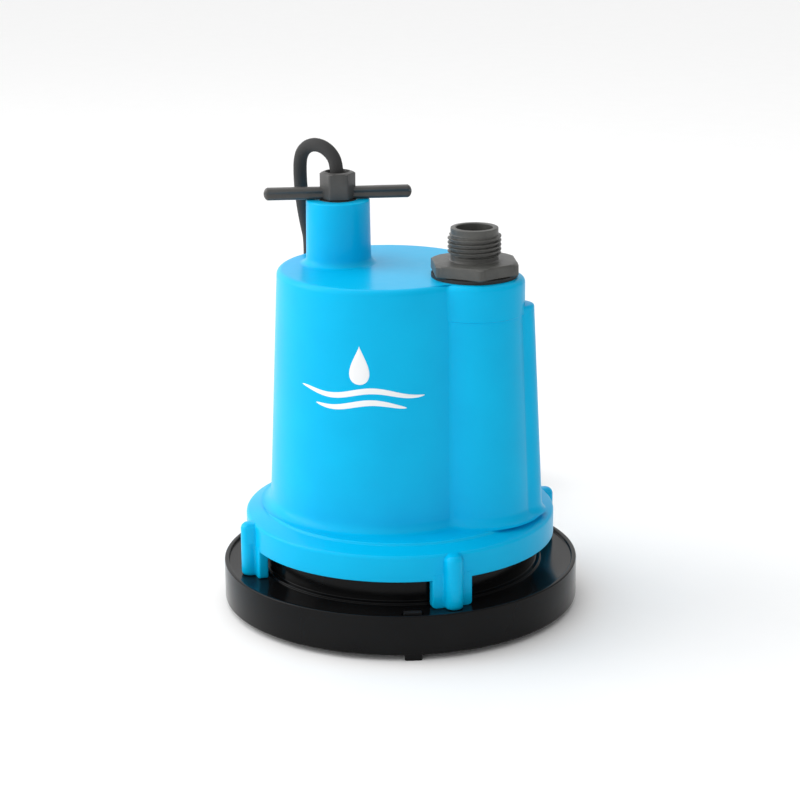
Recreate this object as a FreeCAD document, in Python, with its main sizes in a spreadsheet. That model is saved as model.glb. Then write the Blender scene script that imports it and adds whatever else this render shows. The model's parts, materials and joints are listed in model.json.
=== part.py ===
import FreeCAD, Part
import math
import os
import Sketcher
from FreeCAD import Placement, Rotation, Vector
from types import SimpleNamespace

# Submersible sump pump, in millimetres.
# +Z is up and the floor is z = 0. The origin is under the centre of the round base.
# +X points from the cord tower towards the discharge boss. A cast housing stands on a
# moulded base that holds the volute. Motor, seal and impeller turn about one upright axis.

SIZES = {
    # base moulding
    "foot_rise": 3.0, "foot_width": 8.7, "base_radius": 92.8, "skirt_wall": 3.5,
    "ledge_level": 22.0, "ledge_wall": 3.0, "rim_lip": 1.5, "rim_width": 2.5,
    "wall_radius": 71.5, "wall_thick": 3.0, "wall_rise": 13.6, "step_width": 2.5, "step_rise": 1.2,
    "eye_radius": 16.0, "cutwater_gap": 3.0, "volute_growth": 41.0, "volute_wall": 3.0,
    "gusset_reach": 4.5, "gusset_rise": 6.5, "gusset_wide": 2.4, "gasket_thick": 1.0,
    "screw_radius": 2.1, "screw_head": 4.2, "screw_head_rise": 2.6,
    # housing casting
    "flange_radius": 80.6, "flange_rise": 17.0, "flange_round": 5.0,
    "lug_stand": 1.4, "lug_radius": 4.6, "lug_rise": 15.0, "web_half": 10.5, "web_root": 5.4,
    "drum_offset": -8.6, "drum_base_radius": 60.2, "drum_top_radius": 54.5, "drum_rise": 123.9,
    "drum_round": 3.4, "drum_flare": 5.0, "cast_wall": 3.5,
    "duct_offset": 42.7, "duct_base_radius": 30.0, "duct_top_radius": 25.1,
    "boss_step": 0.5, "boss_rise": 18.6, "boss_proud": 0.1, "boss_round": 2.8, "boss_blend": 0.4,
    "pad_offset": 22.3, "pad_base_radius": 13.0, "pad_top_radius": 8.0, "pad_rise": 4.0,
    "pad_round": 1.5, "tower_offset": -34.1, "tower_radius": 16.4, "tower_draft": 0.4,
    "tower_flare": 3.5, "tower_rise": 33.1, "tower_round": 0.8,
    "water_bore": 15.0, "thread_step": 1.0, "boss_thread_depth": 18.0,
    # cord gland
    "gland_bore": 9.45, "gland_depth": 26.6, "grommet_rise": 11.5, "slip_thick": 1.6,
    "cord_radius": 3.5, "cord_clear": 2.6, "nut_corner": 9.4, "nut_rise": 14.3,
    "bar_length": 76.0, "bar_rise": 6.4, "bar_width": 6.0, "bar_turn": 31.0, "jacket_drop": 14.0,
    # hose adapter
    "washer_thick": 1.8, "washer_radius": 21.8, "hex_corner": 24.1, "hex_rise": 6.4,
    "hose_bore": 9.3, "hose_root": 12.05, "hose_crest": 13.5, "hose_pitch": 2.209, "hose_rise": 16.7,
    # seal plate and motor
    "plate_inset": 0.2, "plate_thick": 4.0, "post_radius": 4.0, "shaft_radius": 6.0,
    "core_clear": 2.7, "core_bore": 21.5, "core_level": 80.0, "core_rise": 42.0,
    "bolt_inset": 4.0, "bolt_radius": 1.9, "air_gap": 0.4, "bell_level": 140.0, "bell_thick": 3.0,
    "lower_race": 16.0, "lower_width": 10.0, "upper_race": 15.0, "upper_width": 9.0,
    "slot_radius": 3.6, "slot_mouth": 1.1, "winding_reach": 14.0, "cage_ring": 6.0, "seal_radius": 11.0,
    # electrics in the head room
    "can_radius": 9.5, "can_long": 44.0, "can_side": 20.0, "lid_long": 3.0, "switch_thick": 3.2,
    # impeller and strainer
    "impeller_radius": 33.0, "impeller_level": 23.2, "vane_rise": 8.0, "vane_thick": 2.4,
    "shroud_thick": 2.6, "strainer_level": 4.0, "strainer_thick": 2.5,
    "clip_inset": 3.3, "clip_thick": 2.0, "hook_reach": 0.9, "hook_rise": 1.6,
    # fits
    "run_gap": 0.05, "seat_gap": 0.15, "free_gap": 0.4,
    # cord put away behind the pump, and its plug
    "coil_mean": 42.0, "coil_layers": 4.0, "plug_long": 30.0, "plug_wide": 26.0, "plug_tall": 20.0,
    "neck_long": 18.0, "blade_long": 17.0, "blade_wide": 6.3, "blade_thick": 1.5, "blade_pitch": 12.7,
}

doc = FreeCAD.newDocument("SumpPump")
sheet = doc.addObject("Spreadsheet::Sheet", "Sizes")
nodes = []


# ---------------------------------------------------------------- sizes and expressions

class Size:
    """A size's value now, and the expression that keeps it tied to the sheet."""

    def __init__(self, text, value):
        self.text = text
        self.value = value

    def __add__(self, other):
        return joined(self, "+", other, lambda a, b: a + b)

    def __radd__(self, other):
        return joined(other, "+", self, lambda a, b: a + b)

    def __sub__(self, other):
        return joined(self, "-", other, lambda a, b: a - b)

    def __rsub__(self, other):
        return joined(other, "-", self, lambda a, b: a - b)

    def __mul__(self, other):
        return joined(self, "*", other, lambda a, b: a * b)

    def __rmul__(self, other):
        return joined(other, "*", self, lambda a, b: a * b)

    def __truediv__(self, other):
        return joined(self, "/", other, lambda a, b: a / b)

    def __neg__(self):
        return joined(0, "-", self, lambda a, b: a - b)


def as_size(number):
    if isinstance(number, Size):
        return number
    return Size(f"{float(number):.9g}", float(number))


def joined(left, sign, right, work):
    left, right = as_size(left), as_size(right)
    return Size(f"({left.text} {sign} {right.text})", work(left.value, right.value))


def fill_sheet():
    named = {}
    for row, (alias, number) in enumerate(SIZES.items(), start=1):
        sheet.set(f"A{row}", alias)
        sheet.set(f"B{row}", str(number))
        sheet.setAlias(f"B{row}", alias)
        named[alias] = Size(f"Sizes.{alias}", number)
    doc.recompute()
    return SimpleNamespace(**named)


s = fill_sheet()

# levels that follow from the sheet, from the floor up
ledge_under = s.ledge_level - s.ledge_wall
rim_top = s.ledge_level + s.rim_lip
step_top = s.ledge_level + s.step_rise
gasket_level = s.ledge_level + s.wall_rise
flange_level = gasket_level + s.gasket_thick
flange_top = flange_level + s.flange_rise
plate_top = flange_level + s.plate_thick
drum_top = flange_top + s.drum_rise
cavity_top = drum_top - s.cast_wall
boss_top = drum_top + s.boss_proud
boss_level = boss_top - s.boss_rise
pad_top = boss_level + s.pad_rise
tower_top = drum_top + s.tower_rise
gland_seat = tower_top - s.gland_depth
jacket_end = gland_seat - s.jacket_drop
grommet_top = gland_seat + s.grommet_rise
slip_top = grommet_top + s.slip_thick
nut_seat = tower_top + 0.1
nut_top = nut_seat + s.nut_rise
cord_start = nut_seat + 3.4
hex_level = boss_top + s.washer_thick
hex_top = hex_level + s.hex_rise
hose_top = hex_top + s.hose_rise
socket_end = boss_top - s.boss_thread_depth
spigot_end = socket_end + 1.5
core_top = s.core_level + s.core_rise
bearing_level = plate_top + 3.4
bolt_low = s.core_level - 18.0
upper_level = s.bell_level + s.bell_thick
shaft_top = upper_level + s.upper_width + 2.0
impeller_top = s.impeller_level + s.vane_rise + s.shroud_thick
strainer_top = s.strainer_level + s.strainer_thick

# radii and offsets that follow from the sheet
step_radius = s.wall_radius + s.step_width
skirt_inner = s.base_radius - s.skirt_wall
clip_circle = skirt_inner - s.clip_inset
lug_circle = s.flange_radius + s.lug_stand
web_inner = s.flange_radius - s.web_root
plate_radius = s.wall_radius - s.plate_inset
boss_radius = s.duct_top_radius + s.boss_step
boss_thread = s.water_bore + s.thread_step
cord_hole = s.cord_radius + s.cord_clear
cutwater_radius = s.impeller_radius + s.cutwater_gap
# the motor fills the drum from its wall to the duct
core_left = s.drum_offset - s.drum_top_radius + s.cast_wall + 0.1
core_right = s.duct_offset - s.water_bore - s.cast_wall - s.core_clear
core_radius = (core_right - core_left) / 2
motor_offset = (core_right + core_left) / 2
bolt_circle = core_radius - s.bolt_inset
slot_mid = s.core_bore + s.slot_radius + 2.9

lug_angles = (45, 135, 225, 315)
clip_angles = (60, 180, 300)
gusset_angles = (0, 111, 249)
pad_angle = 28


# ---------------------------------------------------------------- document helpers

def tie(obj, prop, size):
    obj.setExpression(prop, as_size(size).text)


def place(obj, x=0, y=0, z=0, rotation=None):
    obj.Placement = Placement(Vector(), rotation or Rotation())
    for axis, size in (("x", x), ("y", y), ("z", z)):
        tie(obj, f"Placement.Base.{axis}", size)
    return obj


def about_z(angle):
    return Rotation(Vector(0, 0, 1), angle)


def around(radius, angle):
    turn = math.radians(angle)
    return radius * math.cos(turn), radius * math.sin(turn)


def cylinder(name, radius, height, x=0, y=0, z=0, rotation=None):
    obj = doc.addObject("Part::Cylinder", name)
    tie(obj, "Radius", radius)
    tie(obj, "Height", height)
    return place(obj, x, y, z, rotation)


def cone(name, low_radius, top_radius, height, x=0, y=0, z=0):
    obj = doc.addObject("Part::Cone", name)
    tie(obj, "Radius1", low_radius)
    tie(obj, "Radius2", top_radius)
    tie(obj, "Height", height)
    return place(obj, x, y, z)


def prism(name, corner, height, x=0, y=0, z=0, turn=0):
    obj = doc.addObject("Part::Prism", name)
    obj.Polygon = 6
    tie(obj, "Circumradius", corner)
    tie(obj, "Height", height)
    return place(obj, x, y, z, about_z(turn))


def block(name, radial, wide, tall, distance, level, angle, x=0):
    """A box whose inner face is at a distance from an upright axis, turned by an angle."""
    obj = doc.addObject("Part::Box", name)
    tie(obj, "Length", radial)
    tie(obj, "Width", wide)
    tie(obj, "Height", tall)
    out_x, out_y = around(as_size(distance), angle)
    side_x, side_y = around(as_size(wide) / 2, angle - 90)
    return place(obj, x + out_x + side_x, out_y + side_y, level, about_z(angle))


def fuse(name, *shapes):
    obj = doc.addObject("Part::MultiFuse", name)
    obj.Shapes = list(shapes)
    return obj


def cut(name, base, *tools):
    obj = doc.addObject("Part::Cut", name)
    obj.Base = base
    obj.Tool = tools[0] if len(tools) == 1 else fuse(name + "_tools", *tools)
    return obj


def rounded(name, base, radius, wanted):
    """Round every edge of base that wanted(edge) picks."""
    doc.recompute()
    obj = doc.addObject("Part::Fillet", name)
    obj.Base = base
    picked = [i for i, edge in enumerate(base.Shape.Edges, start=1) if wanted(edge)]
    obj.Edges = [(i, radius.value, radius.value) for i in picked]
    return obj


def node(label, obj):
    obj.Label = label
    nodes.append(obj)
    return obj


def feature(label, shape):
    obj = doc.addObject("Part::Feature", label)
    obj.Shape = shape
    obj.Placement = Placement()
    return node(label, obj)


def is_ring_at(edge, radius, level):
    curve = edge.Curve
    if not isinstance(curve, Part.Circle):
        return False
    return abs(curve.Radius - radius.value) < 0.01 and abs(curve.Center.z - level.value) < 0.01


# ---------------------------------------------------------------- sketched bodies

def fix_point(sketch, geo, pos, across, up):
    """Hold one sketch point at its place, tied to the sheet."""
    for kind, axis_id, size in (("DistanceX", -2, across), ("DistanceY", -1, up)):
        size = as_size(size)
        if abs(size.value) < 1e-9:
            sketch.addConstraint(Sketcher.Constraint("PointOnObject", geo, pos, axis_id))
            continue
        ends = (-1, 1, geo, pos) if size.value > 0 else (geo, pos, -1, 1)
        index = sketch.addConstraint(Sketcher.Constraint(kind, *ends, abs(size.value)))
        tie(sketch, f"Constraints[{index}]", size if size.value > 0 else -size)


def point_of(corner):
    return Vector(as_size(corner[0]).value, as_size(corner[1]).value, 0)


def arc_between(start, end, centre):
    """The shorter arc, and whether it runs from end to start."""
    first = math.atan2(start.y - centre.y, start.x - centre.x)
    last = math.atan2(end.y - centre.y, end.x - centre.x)
    sweep = (last - first) % (2 * math.pi)
    circle = Part.Circle(centre, Vector(0, 0, 1), (start - centre).Length)
    if sweep <= math.pi:
        return Part.ArcOfCircle(circle, first, first + sweep), False
    return Part.ArcOfCircle(circle, last, last + 2 * math.pi - sweep), True


def draw_outline(sketch, outline):
    """Corners in order. A corner with a third item is reached by an arc about that centre."""
    count = len(outline)
    starts = []
    arcs = []
    for i in range(count):
        here, after = outline[i], outline[(i + 1) % count]
        if len(after) == 2:
            geo = sketch.addGeometry(Part.LineSegment(point_of(here), point_of(after)))
            starts.append((geo, 1, 2))
            continue
        arc, backwards = arc_between(point_of(here), point_of(after), point_of(after[2]))
        geo = sketch.addGeometry(arc)
        starts.append((geo, 2, 1) if backwards else (geo, 1, 2))
        arcs.append((geo, point_of(after) - point_of(here), after[2]))
    for i in range(count):
        geo, _, end = starts[i]
        next_geo, start, _ = starts[(i + 1) % count]
        sketch.addConstraint(Sketcher.Constraint("Coincident", geo, end, next_geo, start))
    for (geo, start, _), corner in zip(starts, outline):
        fix_point(sketch, geo, start, corner[0], corner[1])
    for geo, chord, centre in arcs:
        upright = abs(chord.y) > abs(chord.x)
        kind, size = ("DistanceX", centre[0]) if upright else ("DistanceY", centre[1])
        size = as_size(size)
        index = sketch.addConstraint(Sketcher.Constraint(kind, -1, 1, geo, 3, size.value))
        tie(sketch, f"Constraints[{index}]", size)


def new_sketch(body, name, role, lift=0):
    sketch = body.newObject("Sketcher::SketchObject", name)
    plane = [o for o in body.Origin.OriginFeatures if o.Role == role][0]
    sketch.AttachmentSupport = (plane, [""])
    sketch.MapMode = "FlatFace"
    tie(sketch, "AttachmentOffset.Base.z", lift)
    return sketch


def turned(label, outline, x=0, y=0, z=0):
    """A body of revolution about its own upright axis; the outline is (radius, level) corners."""
    body = doc.addObject("PartDesign::Body", label)
    sketch = new_sketch(body, label + "_profile", "XZ_Plane")
    draw_outline(sketch, outline)
    revolution = body.newObject("PartDesign::Revolution", label + "_revolution")
    revolution.Profile = sketch
    revolution.ReferenceAxis = (sketch, ["V_Axis"])
    revolution.Angle = 360
    place(body, x, y, z)
    return body


def sleeve(label, inner, outer, low, top, x=0):
    return turned(label, [(inner, low), (outer, low), (outer, top), (inner, top)], x=x)


def round_section(inner, outer, low, top, corner):
    """A rectangular ring section with rounded corners; its first corner closes the outline."""
    left, right, bottom, upper = inner + corner, outer - corner, low + corner, top - corner
    return [(left, low, (left, bottom)), (right, low), (outer, bottom, (right, bottom)), (outer, upper),
            (right, top, (right, upper)), (left, top), (inner, upper, (left, upper)), (inner, bottom)]


def repeated_cut(body, name, outline, lift, depth, count):
    """Pocket an outline downwards from a level, then repeat it round the body's axis."""
    sketch = new_sketch(body, name + "_sketch", "XY_Plane", lift)
    draw_outline(sketch, outline)
    pocket = body.newObject("PartDesign::Pocket", name)
    pocket.Profile = sketch
    tie(pocket, "Length", depth)
    return repeated(body, name, pocket, count)


def repeated_pad(body, name, outline, lift, height, count):
    sketch = new_sketch(body, name + "_sketch", "XY_Plane", lift)
    draw_outline(sketch, outline)
    pad = body.newObject("PartDesign::Pad", name)
    pad.Profile = sketch
    tie(pad, "Length", height)
    return repeated(body, name, pad, count)


def repeated(body, name, original, count):
    doc.recompute()
    before = original.BaseFeature.Shape.Volume
    if abs(original.Shape.Volume - before) < 1e-3:
        raise RuntimeError(f"{name} changes nothing")
    pattern = body.newObject("PartDesign::PolarPattern", name + "_pattern")
    pattern.Originals = [original]
    axis = [o for o in body.Origin.OriginFeatures if o.Role == "Z_Axis"][0]
    pattern.Axis = (axis, [""])
    pattern.Angle = 360
    pattern.Occurrences = count
    body.Tip = pattern
    return pattern


# ---------------------------------------------------------------- base moulding

def volute_wire(extra, level):
    """Spiral from the cutwater to the outlet; its radius grows as the 2.5th power of the turn."""
    start, end, steps = math.radians(30), math.radians(355), 12
    centre = Vector(motor_offset.value, 0, level)
    spiral = []
    for i in range(steps + 1):
        share = i / steps
        turn = start + share * (end - start)
        radius = cutwater_radius.value + extra + s.volute_growth.value * share ** 2.5
        spiral.append(centre + Vector(radius * math.cos(turn), radius * math.sin(turn), 0))
    curve = Part.BSplineCurve()
    curve.interpolate(spiral)
    outlet = Vector(s.duct_offset.value, 0, level)
    reach = (spiral[-1] - outlet).Length
    side = outlet + Vector(reach * math.cos(math.radians(50)), reach * math.sin(math.radians(50)), 0)
    top = outlet + Vector(0, reach, 0)
    arc = Part.Arc(spiral[-1], side, top)
    line = Part.LineSegment(top, spiral[0])
    return Part.Wire([curve.toShape(), arc.toShape(), line.toShape()])


def volute_solid(label, extra, low, top):
    face = Part.Face(volute_wire(extra, low.value))
    obj = doc.addObject("Part::Feature", label)
    obj.Shape = face.extrude(Vector(0, 0, top.value - low.value))
    return obj


def make_base():
    """Skirt, ledge, raised wall and volute in one moulding, with feet, gussets and clip slots."""
    wall_inner = s.wall_radius - s.wall_thick
    shell = turned("base_shell", [
        (0, ledge_under), (skirt_inner, ledge_under), (skirt_inner, s.foot_rise),
        (s.base_radius, s.foot_rise),
        (s.base_radius, rim_top), (s.base_radius - s.rim_width, rim_top),
        (s.base_radius - s.rim_width, s.ledge_level), (step_radius, s.ledge_level),
        (step_radius, step_top), (s.wall_radius, step_top), (s.wall_radius, gasket_level),
        (wall_inner, gasket_level), (wall_inner, s.ledge_level), (0, s.ledge_level)])
    outer = volute_solid("volute_outer", s.volute_wall.value, s.ledge_level - 0.5,
                         flange_level - 0.1)
    inner = volute_solid("volute_inner", 0.0, s.ledge_level, flange_level)
    spiral = cut("volute_spiral", outer, inner)
    pieces = [shell, spiral]
    for i, angle in enumerate(clip_angles):
        pieces.append(block(f"foot_{i}", s.skirt_wall - 0.4, s.foot_width, s.foot_rise + 0.5,
                            skirt_inner + 0.2, 0, angle))
    for i, angle in enumerate(gusset_angles):
        pieces.append(block(f"gusset_{i}", s.gusset_reach, s.gusset_wide, s.gusset_rise + 0.5,
                            step_radius - 1.0, s.ledge_level - 0.5, angle))
    solid = fuse("base_solid", *pieces)
    depth = s.ledge_wall + 2.0
    tools = [cylinder("intake_eye", s.eye_radius, depth, motor_offset, 0, ledge_under - 1.0)]
    for i, angle in enumerate(clip_angles):
        slot_deep = s.clip_thick + 2 * (s.free_gap + s.hook_rise)
        tools.append(block(f"clip_slot_{i}", slot_deep, s.foot_width + 6 * s.free_gap, depth,
                           clip_circle - s.free_gap - s.hook_rise, ledge_under - 1.0, angle))
    for i, angle in enumerate(lug_angles):
        x, y = around(lug_circle, angle)
        tools.append(cylinder(f"ledge_hole_{i}", s.screw_radius + 0.5, depth, x, y, ledge_under - 1.0))
    node("pump_base", cut("pump_base_body", solid, *tools))


def make_strainer():
    """Slotted plate that closes the underside, with three snap arms that reach up through the ledge."""
    plate_edge = skirt_inner - s.free_gap
    plate = turned("strainer_plate", [(0, s.strainer_level), (plate_edge, s.strainer_level),
                                      (plate_edge, strainer_top), (0, strainer_top)])
    rings = (("outer_slots", 52, 76, 1.7, 36), ("inner_slots", 20, 44, 1.5, 20))
    for name, low, high, half, count in rings:
        outline = [(low, -half), (high, -half), (high, half), (low, half)]
        repeated_cut(plate, name, outline, strainer_top + 0.5, s.strainer_thick + 1.0, count)
    pieces = [plate]
    hook_level = s.ledge_level + 0.3
    for i, angle in enumerate(clip_angles):
        arm_rise = hook_level + s.hook_rise - strainer_top + 0.5
        pieces.append(block(f"arm_{i}", s.clip_thick, s.foot_width, arm_rise,
                            clip_circle, strainer_top - 0.5, angle))
        pieces.append(block(f"hook_{i}", s.clip_thick + s.hook_reach, s.foot_width, s.hook_rise,
                            clip_circle, hook_level, angle))
    node("intake_strainer", fuse("intake_strainer_body", *pieces))


def make_base_screws():
    """Four pan-head screws that come up through the ledge into the lugs."""
    head_low = ledge_under - s.screw_head_rise
    screws = []
    for i, angle in enumerate(lug_angles):
        x, y = around(lug_circle, angle)
        head = cylinder(f"screw_head_{i}", s.screw_head, s.screw_head_rise, x, y, head_low)
        shank = cylinder(f"screw_shank_{i}", s.screw_radius, s.lug_rise + s.ledge_wall + 0.2,
                         x, y, ledge_under - 0.2)
        slot = block(f"screw_slot_{i}", 1.1, 6.4, 1.2, lug_circle - 0.55, head_low - 0.2, angle)
        screws.append(cut(f"screw_{i}", fuse(f"screw_solid_{i}", head, shank), slot))
    node("base_screws", fuse("base_screws_group", *screws))


# ---------------------------------------------------------------- housing casting

def flared(label, base, top, low, high, flare, crown, x):
    """A drafted round wall with a flare where it stands and a rounded edge at its top."""
    return turned(label, [
        (0, low - 2.0), (base + flare, low - 2.0), (base + flare, low),
        (base, low + flare, (base + flare, low + flare)),
        (top, high - crown), (top - crown, high, (top - crown, high - crown)), (0, high)], x=x)


def make_lugs():
    """Screw lugs on the flange: a round rib with a web on each side, down to the ledge."""
    lugs = []
    drop = flange_level - s.ledge_level
    for i, angle in enumerate(lug_angles):
        x, y = around(lug_circle, angle)
        rib = cylinder(f"rib_{i}", s.lug_radius, drop + s.lug_rise, x, y, s.ledge_level)
        crown = rounded(f"rib_crown_{i}", rib, s.lug_radius * 0.7,
                        lambda edge: is_ring_at(edge, s.lug_radius, flange_level + s.lug_rise))
        web = block(f"web_{i}", s.flange_radius - web_inner, s.web_half * 2, drop + 3.0,
                    web_inner, s.ledge_level, angle)
        tie_in = block(f"rib_root_{i}", lug_circle - web_inner, s.lug_radius * 2,
                       drop + s.lug_rise - 4.0, web_inner, s.ledge_level, angle)
        lugs += [crown, web, tie_in]
    trim = cylinder("web_trim", lug_circle + s.lug_radius, s.flange_rise + drop, z=s.ledge_level)
    lug_set = doc.addObject("Part::MultiCommon", "lug_set")
    lug_set.Shapes = [fuse("lug_pieces", *lugs), trim]
    return lug_set


def make_housing():
    """Drum, discharge duct, cord tower and flange cast in one, hollowed for motor and water."""
    drum = flared("drum", s.drum_base_radius, s.drum_top_radius, flange_top, drum_top,
                  s.drum_flare, s.drum_round, s.drum_offset)
    duct = flared("duct", s.duct_base_radius, s.duct_top_radius, flange_top, boss_level + 2.0,
                  s.drum_flare, s.boss_round / 2, s.duct_offset)
    edge = s.boss_round
    boss = turned("discharge_boss", [
        (0, boss_level), (boss_radius - s.boss_blend, boss_level),
        (boss_radius, boss_level + s.boss_blend,
         (boss_radius - s.boss_blend, boss_level + s.boss_blend)),
        (boss_radius, boss_top - edge),
        (boss_radius - edge, boss_top, (boss_radius - edge, boss_top - edge)),
        (0, boss_top)], x=s.duct_offset)
    tower = flared("cord_tower", s.tower_radius + s.tower_draft, s.tower_radius, drum_top,
                   tower_top, s.tower_flare, s.tower_round, s.tower_offset)
    round_off = s.flange_round
    flange = turned("flange", [
        (0, flange_level), (s.flange_radius, flange_level),
        (s.flange_radius, flange_top - round_off),
        (s.flange_radius - round_off, flange_top,
         (s.flange_radius - round_off, flange_top - round_off)),
        (0, flange_top)])
    pad_x, pad_y = around(s.pad_offset, pad_angle)
    pad = cone("side_pad", s.pad_base_radius, s.pad_top_radius, pad_top - flange_top + 2.0,
               s.duct_offset + pad_x, pad_y, flange_top - 2.0)
    crown = rounded("side_pad_crown", pad, s.pad_round,
                    lambda edge: is_ring_at(edge, s.pad_top_radius, pad_top))
    casting = fuse("casting", drum, duct, boss, tower, flange, crown, make_lugs())
    node("motor_housing", cut("motor_housing_body", casting, *housing_hollows()))


def housing_hollows():
    """The motor cavity beside the water bore, the plate's seat, the gland bore and screw holes."""
    draft = (s.drum_base_radius - s.drum_top_radius) / (drum_top - flange_top)
    low_radius = s.drum_base_radius + draft * s.flange_rise - s.cast_wall
    top_radius = s.drum_top_radius - s.cast_wall
    room = cone("motor_room", low_radius, top_radius, cavity_top - flange_level,
                s.drum_offset, 0, flange_level)
    tube = cylinder("duct_tube", s.water_bore + s.cast_wall, 200, s.duct_offset, 0, plate_top)
    cavity = cut("motor_cavity", room, tube)
    seat = cylinder("plate_seat", plate_radius + s.seat_gap, s.plate_thick + 1.0,
                    z=flange_level - 1.0)
    water = cylinder("water_way", s.water_bore, boss_top - flange_level + 2.0,
                     s.duct_offset, 0, flange_level - 1.0)
    thread = cylinder("boss_socket", boss_thread, s.boss_thread_depth + 1.0,
                      s.duct_offset, 0, socket_end)
    gland = cylinder("gland_socket", s.gland_bore, s.gland_depth + 2.0, s.tower_offset, 0, gland_seat)
    passage = cylinder("cord_passage", s.cord_radius + 1.5, 20, s.tower_offset, 0, gland_seat - 15)
    hollows = [cavity, seat, water, thread, gland, passage]
    for i, angle in enumerate(lug_angles):
        x, y = around(lug_circle, angle)
        hollows.append(cylinder(f"lug_hole_{i}", s.screw_radius + s.run_gap, s.lug_rise + 1.0,
                                x, y, s.ledge_level - 0.5))
    return hollows


# ---------------------------------------------------------------- seal plate and seals

def motor_ring(name, radius, bolt, low, height):
    """Four uprights on the motor's bolt circle."""
    return [cylinder(f"{name}_{i}", bolt, height, motor_offset + around(radius, angle)[0],
                     around(radius, angle)[1], low)
            for i, angle in enumerate(lug_angles)]


def make_seal_plate():
    """Round plate between volute and motor: bearing seat, seal seat, four motor posts."""
    boss_rise = bearing_level + s.lower_width + 1.0 - plate_top
    disc = cylinder("plate_disc", plate_radius, s.plate_thick, z=flange_level)
    boss = cylinder("bearing_boss", s.lower_race + 4.0, boss_rise + 0.5, motor_offset, 0, plate_top - 0.5)
    posts = motor_ring("motor_post", bolt_circle, s.post_radius, plate_top - 0.5,
                       s.core_level - plate_top + 0.5)
    solid = fuse("plate_solid", disc, boss, *posts)
    groove_top = plate_top - 1.8
    tools = [
        cylinder("plate_water_hole", s.water_bore, 20, s.duct_offset, 0, flange_level - 5),
        cylinder("plate_seal_bore", s.seal_radius, 20, motor_offset, 0, flange_level - 5),
        cylinder("bearing_seat", s.lower_race, 30, motor_offset, 0, bearing_level),
        cut("rim_groove", cylinder("rim_groove_out", plate_radius - 1.3, 5, z=groove_top),
            cylinder("rim_groove_in", plate_radius - 3.7, 5, z=groove_top)),
        cut("duct_groove",
            cylinder("duct_groove_out", s.water_bore + 2.6, 5, s.duct_offset, 0, groove_top),
            cylinder("duct_groove_in", s.water_bore + 1.0, 5, s.duct_offset, 0, groove_top)),
    ]
    tools += motor_ring("post_hole", bolt_circle, s.bolt_radius + s.run_gap, bolt_low - 4.0, 30)
    node("seal_plate", cut("seal_plate_body", solid, *tools))
    node("plate_oring", sleeve("plate_oring", plate_radius - 3.6, plate_radius - 1.4,
                               groove_top, plate_top))
    node("duct_oring", sleeve("duct_oring", s.water_bore + 1.1, s.water_bore + 2.5,
                              groove_top, plate_top, s.duct_offset))
    node("volute_gasket", sleeve("volute_gasket", s.wall_radius - s.wall_thick, s.wall_radius,
                                 gasket_level, flange_level))
    node("shaft_seal_seat", sleeve("shaft_seal_seat", s.shaft_radius + 1.2, s.seal_radius,
                                   flange_level + 1.6, flange_level + 5.6, motor_offset))
    head_low, face = impeller_top + 0.1, flange_level + 1.5
    node("shaft_seal_head", turned("shaft_seal_head", [
        (s.shaft_radius, head_low), (9.6, head_low), (9.6, head_low + 1.6), (10.3, head_low + 1.6),
        (10.3, face - 1.4), (8.6, face - 1.4), (8.6, face), (s.shaft_radius, face)], x=motor_offset))


def make_bearing(name, bore, race, low, width):
    """Ball bearing: inner race, outer race and nine balls, each race with its groove."""
    mid = (race + bore) / 2
    ball = (race - bore) * 0.29
    centre = low + width / 2
    land = ball * 0.62
    rise = ball * 0.7846
    top = low + width
    node(f"{name}_outer_race", turned(f"{name}_outer_race", [
        (mid + land, low), (race, low), (race, top), (mid + land, top), (mid + land, centre + rise),
        (mid + land, centre - rise, (mid, centre))], x=motor_offset))
    node(f"{name}_inner_race", turned(f"{name}_inner_race", [
        (bore, low), (mid - land, low), (mid - land, centre - rise),
        (mid - land, centre + rise, (mid, centre)), (mid - land, top), (bore, top)], x=motor_offset))
    balls = []
    for i in range(9):
        x, y = around(mid, i * 40)
        obj = doc.addObject("Part::Sphere", f"{name}_ball_{i}")
        tie(obj, "Radius", ball - 0.06)
        balls.append(place(obj, motor_offset + x, y, centre))
    node(f"{name}_balls", fuse(f"{name}_ball_set", *balls))


# ---------------------------------------------------------------- motor

def make_stator():
    """Laminated core with twelve slots, and the copper that fills them and turns over at the ends."""
    core = turned("stator_stack", [
        (s.core_bore, s.core_level), (core_radius, s.core_level),
        (core_radius, core_top), (s.core_bore, core_top)], x=motor_offset)
    inside, mouth = s.core_bore - 1, s.slot_mouth
    outline = [(inside, -mouth), (slot_mid, -mouth), (slot_mid, mouth), (inside, mouth)]
    repeated_cut(core, "slot_mouths", outline, core_top + 1, s.core_rise + 2, 12)
    slots = []
    bars = []
    for i in range(12):
        x, y = around(slot_mid, i * 30)
        x = motor_offset + x
        slots.append(cylinder(f"slot_{i}", s.slot_radius, s.core_rise + 2, x, y, s.core_level - 1))
        bars.append(cylinder(f"bar_{i}", s.slot_radius - 0.25, s.core_rise + 4, x, y, s.core_level - 2))
    holes = motor_ring("core_hole", bolt_circle, s.bolt_radius + s.run_gap,
                       s.core_level - 1, s.core_rise + 2)
    node("stator_core", cut("stator_core_body", core, *slots, *holes))
    inner, outer, corner = slot_mid - s.slot_radius, slot_mid + s.slot_radius, 2.5
    ends = []
    for name, low, top in (("low", s.core_level - s.winding_reach, s.core_level - 1.2),
                           ("top", core_top + 1.2, core_top + s.winding_reach)):
        section = round_section(inner, outer, low, top, corner)
        ends.append(turned(f"winding_{name}", section, x=motor_offset))
    node("stator_windings", fuse("stator_windings_body", *ends, *bars))


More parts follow.
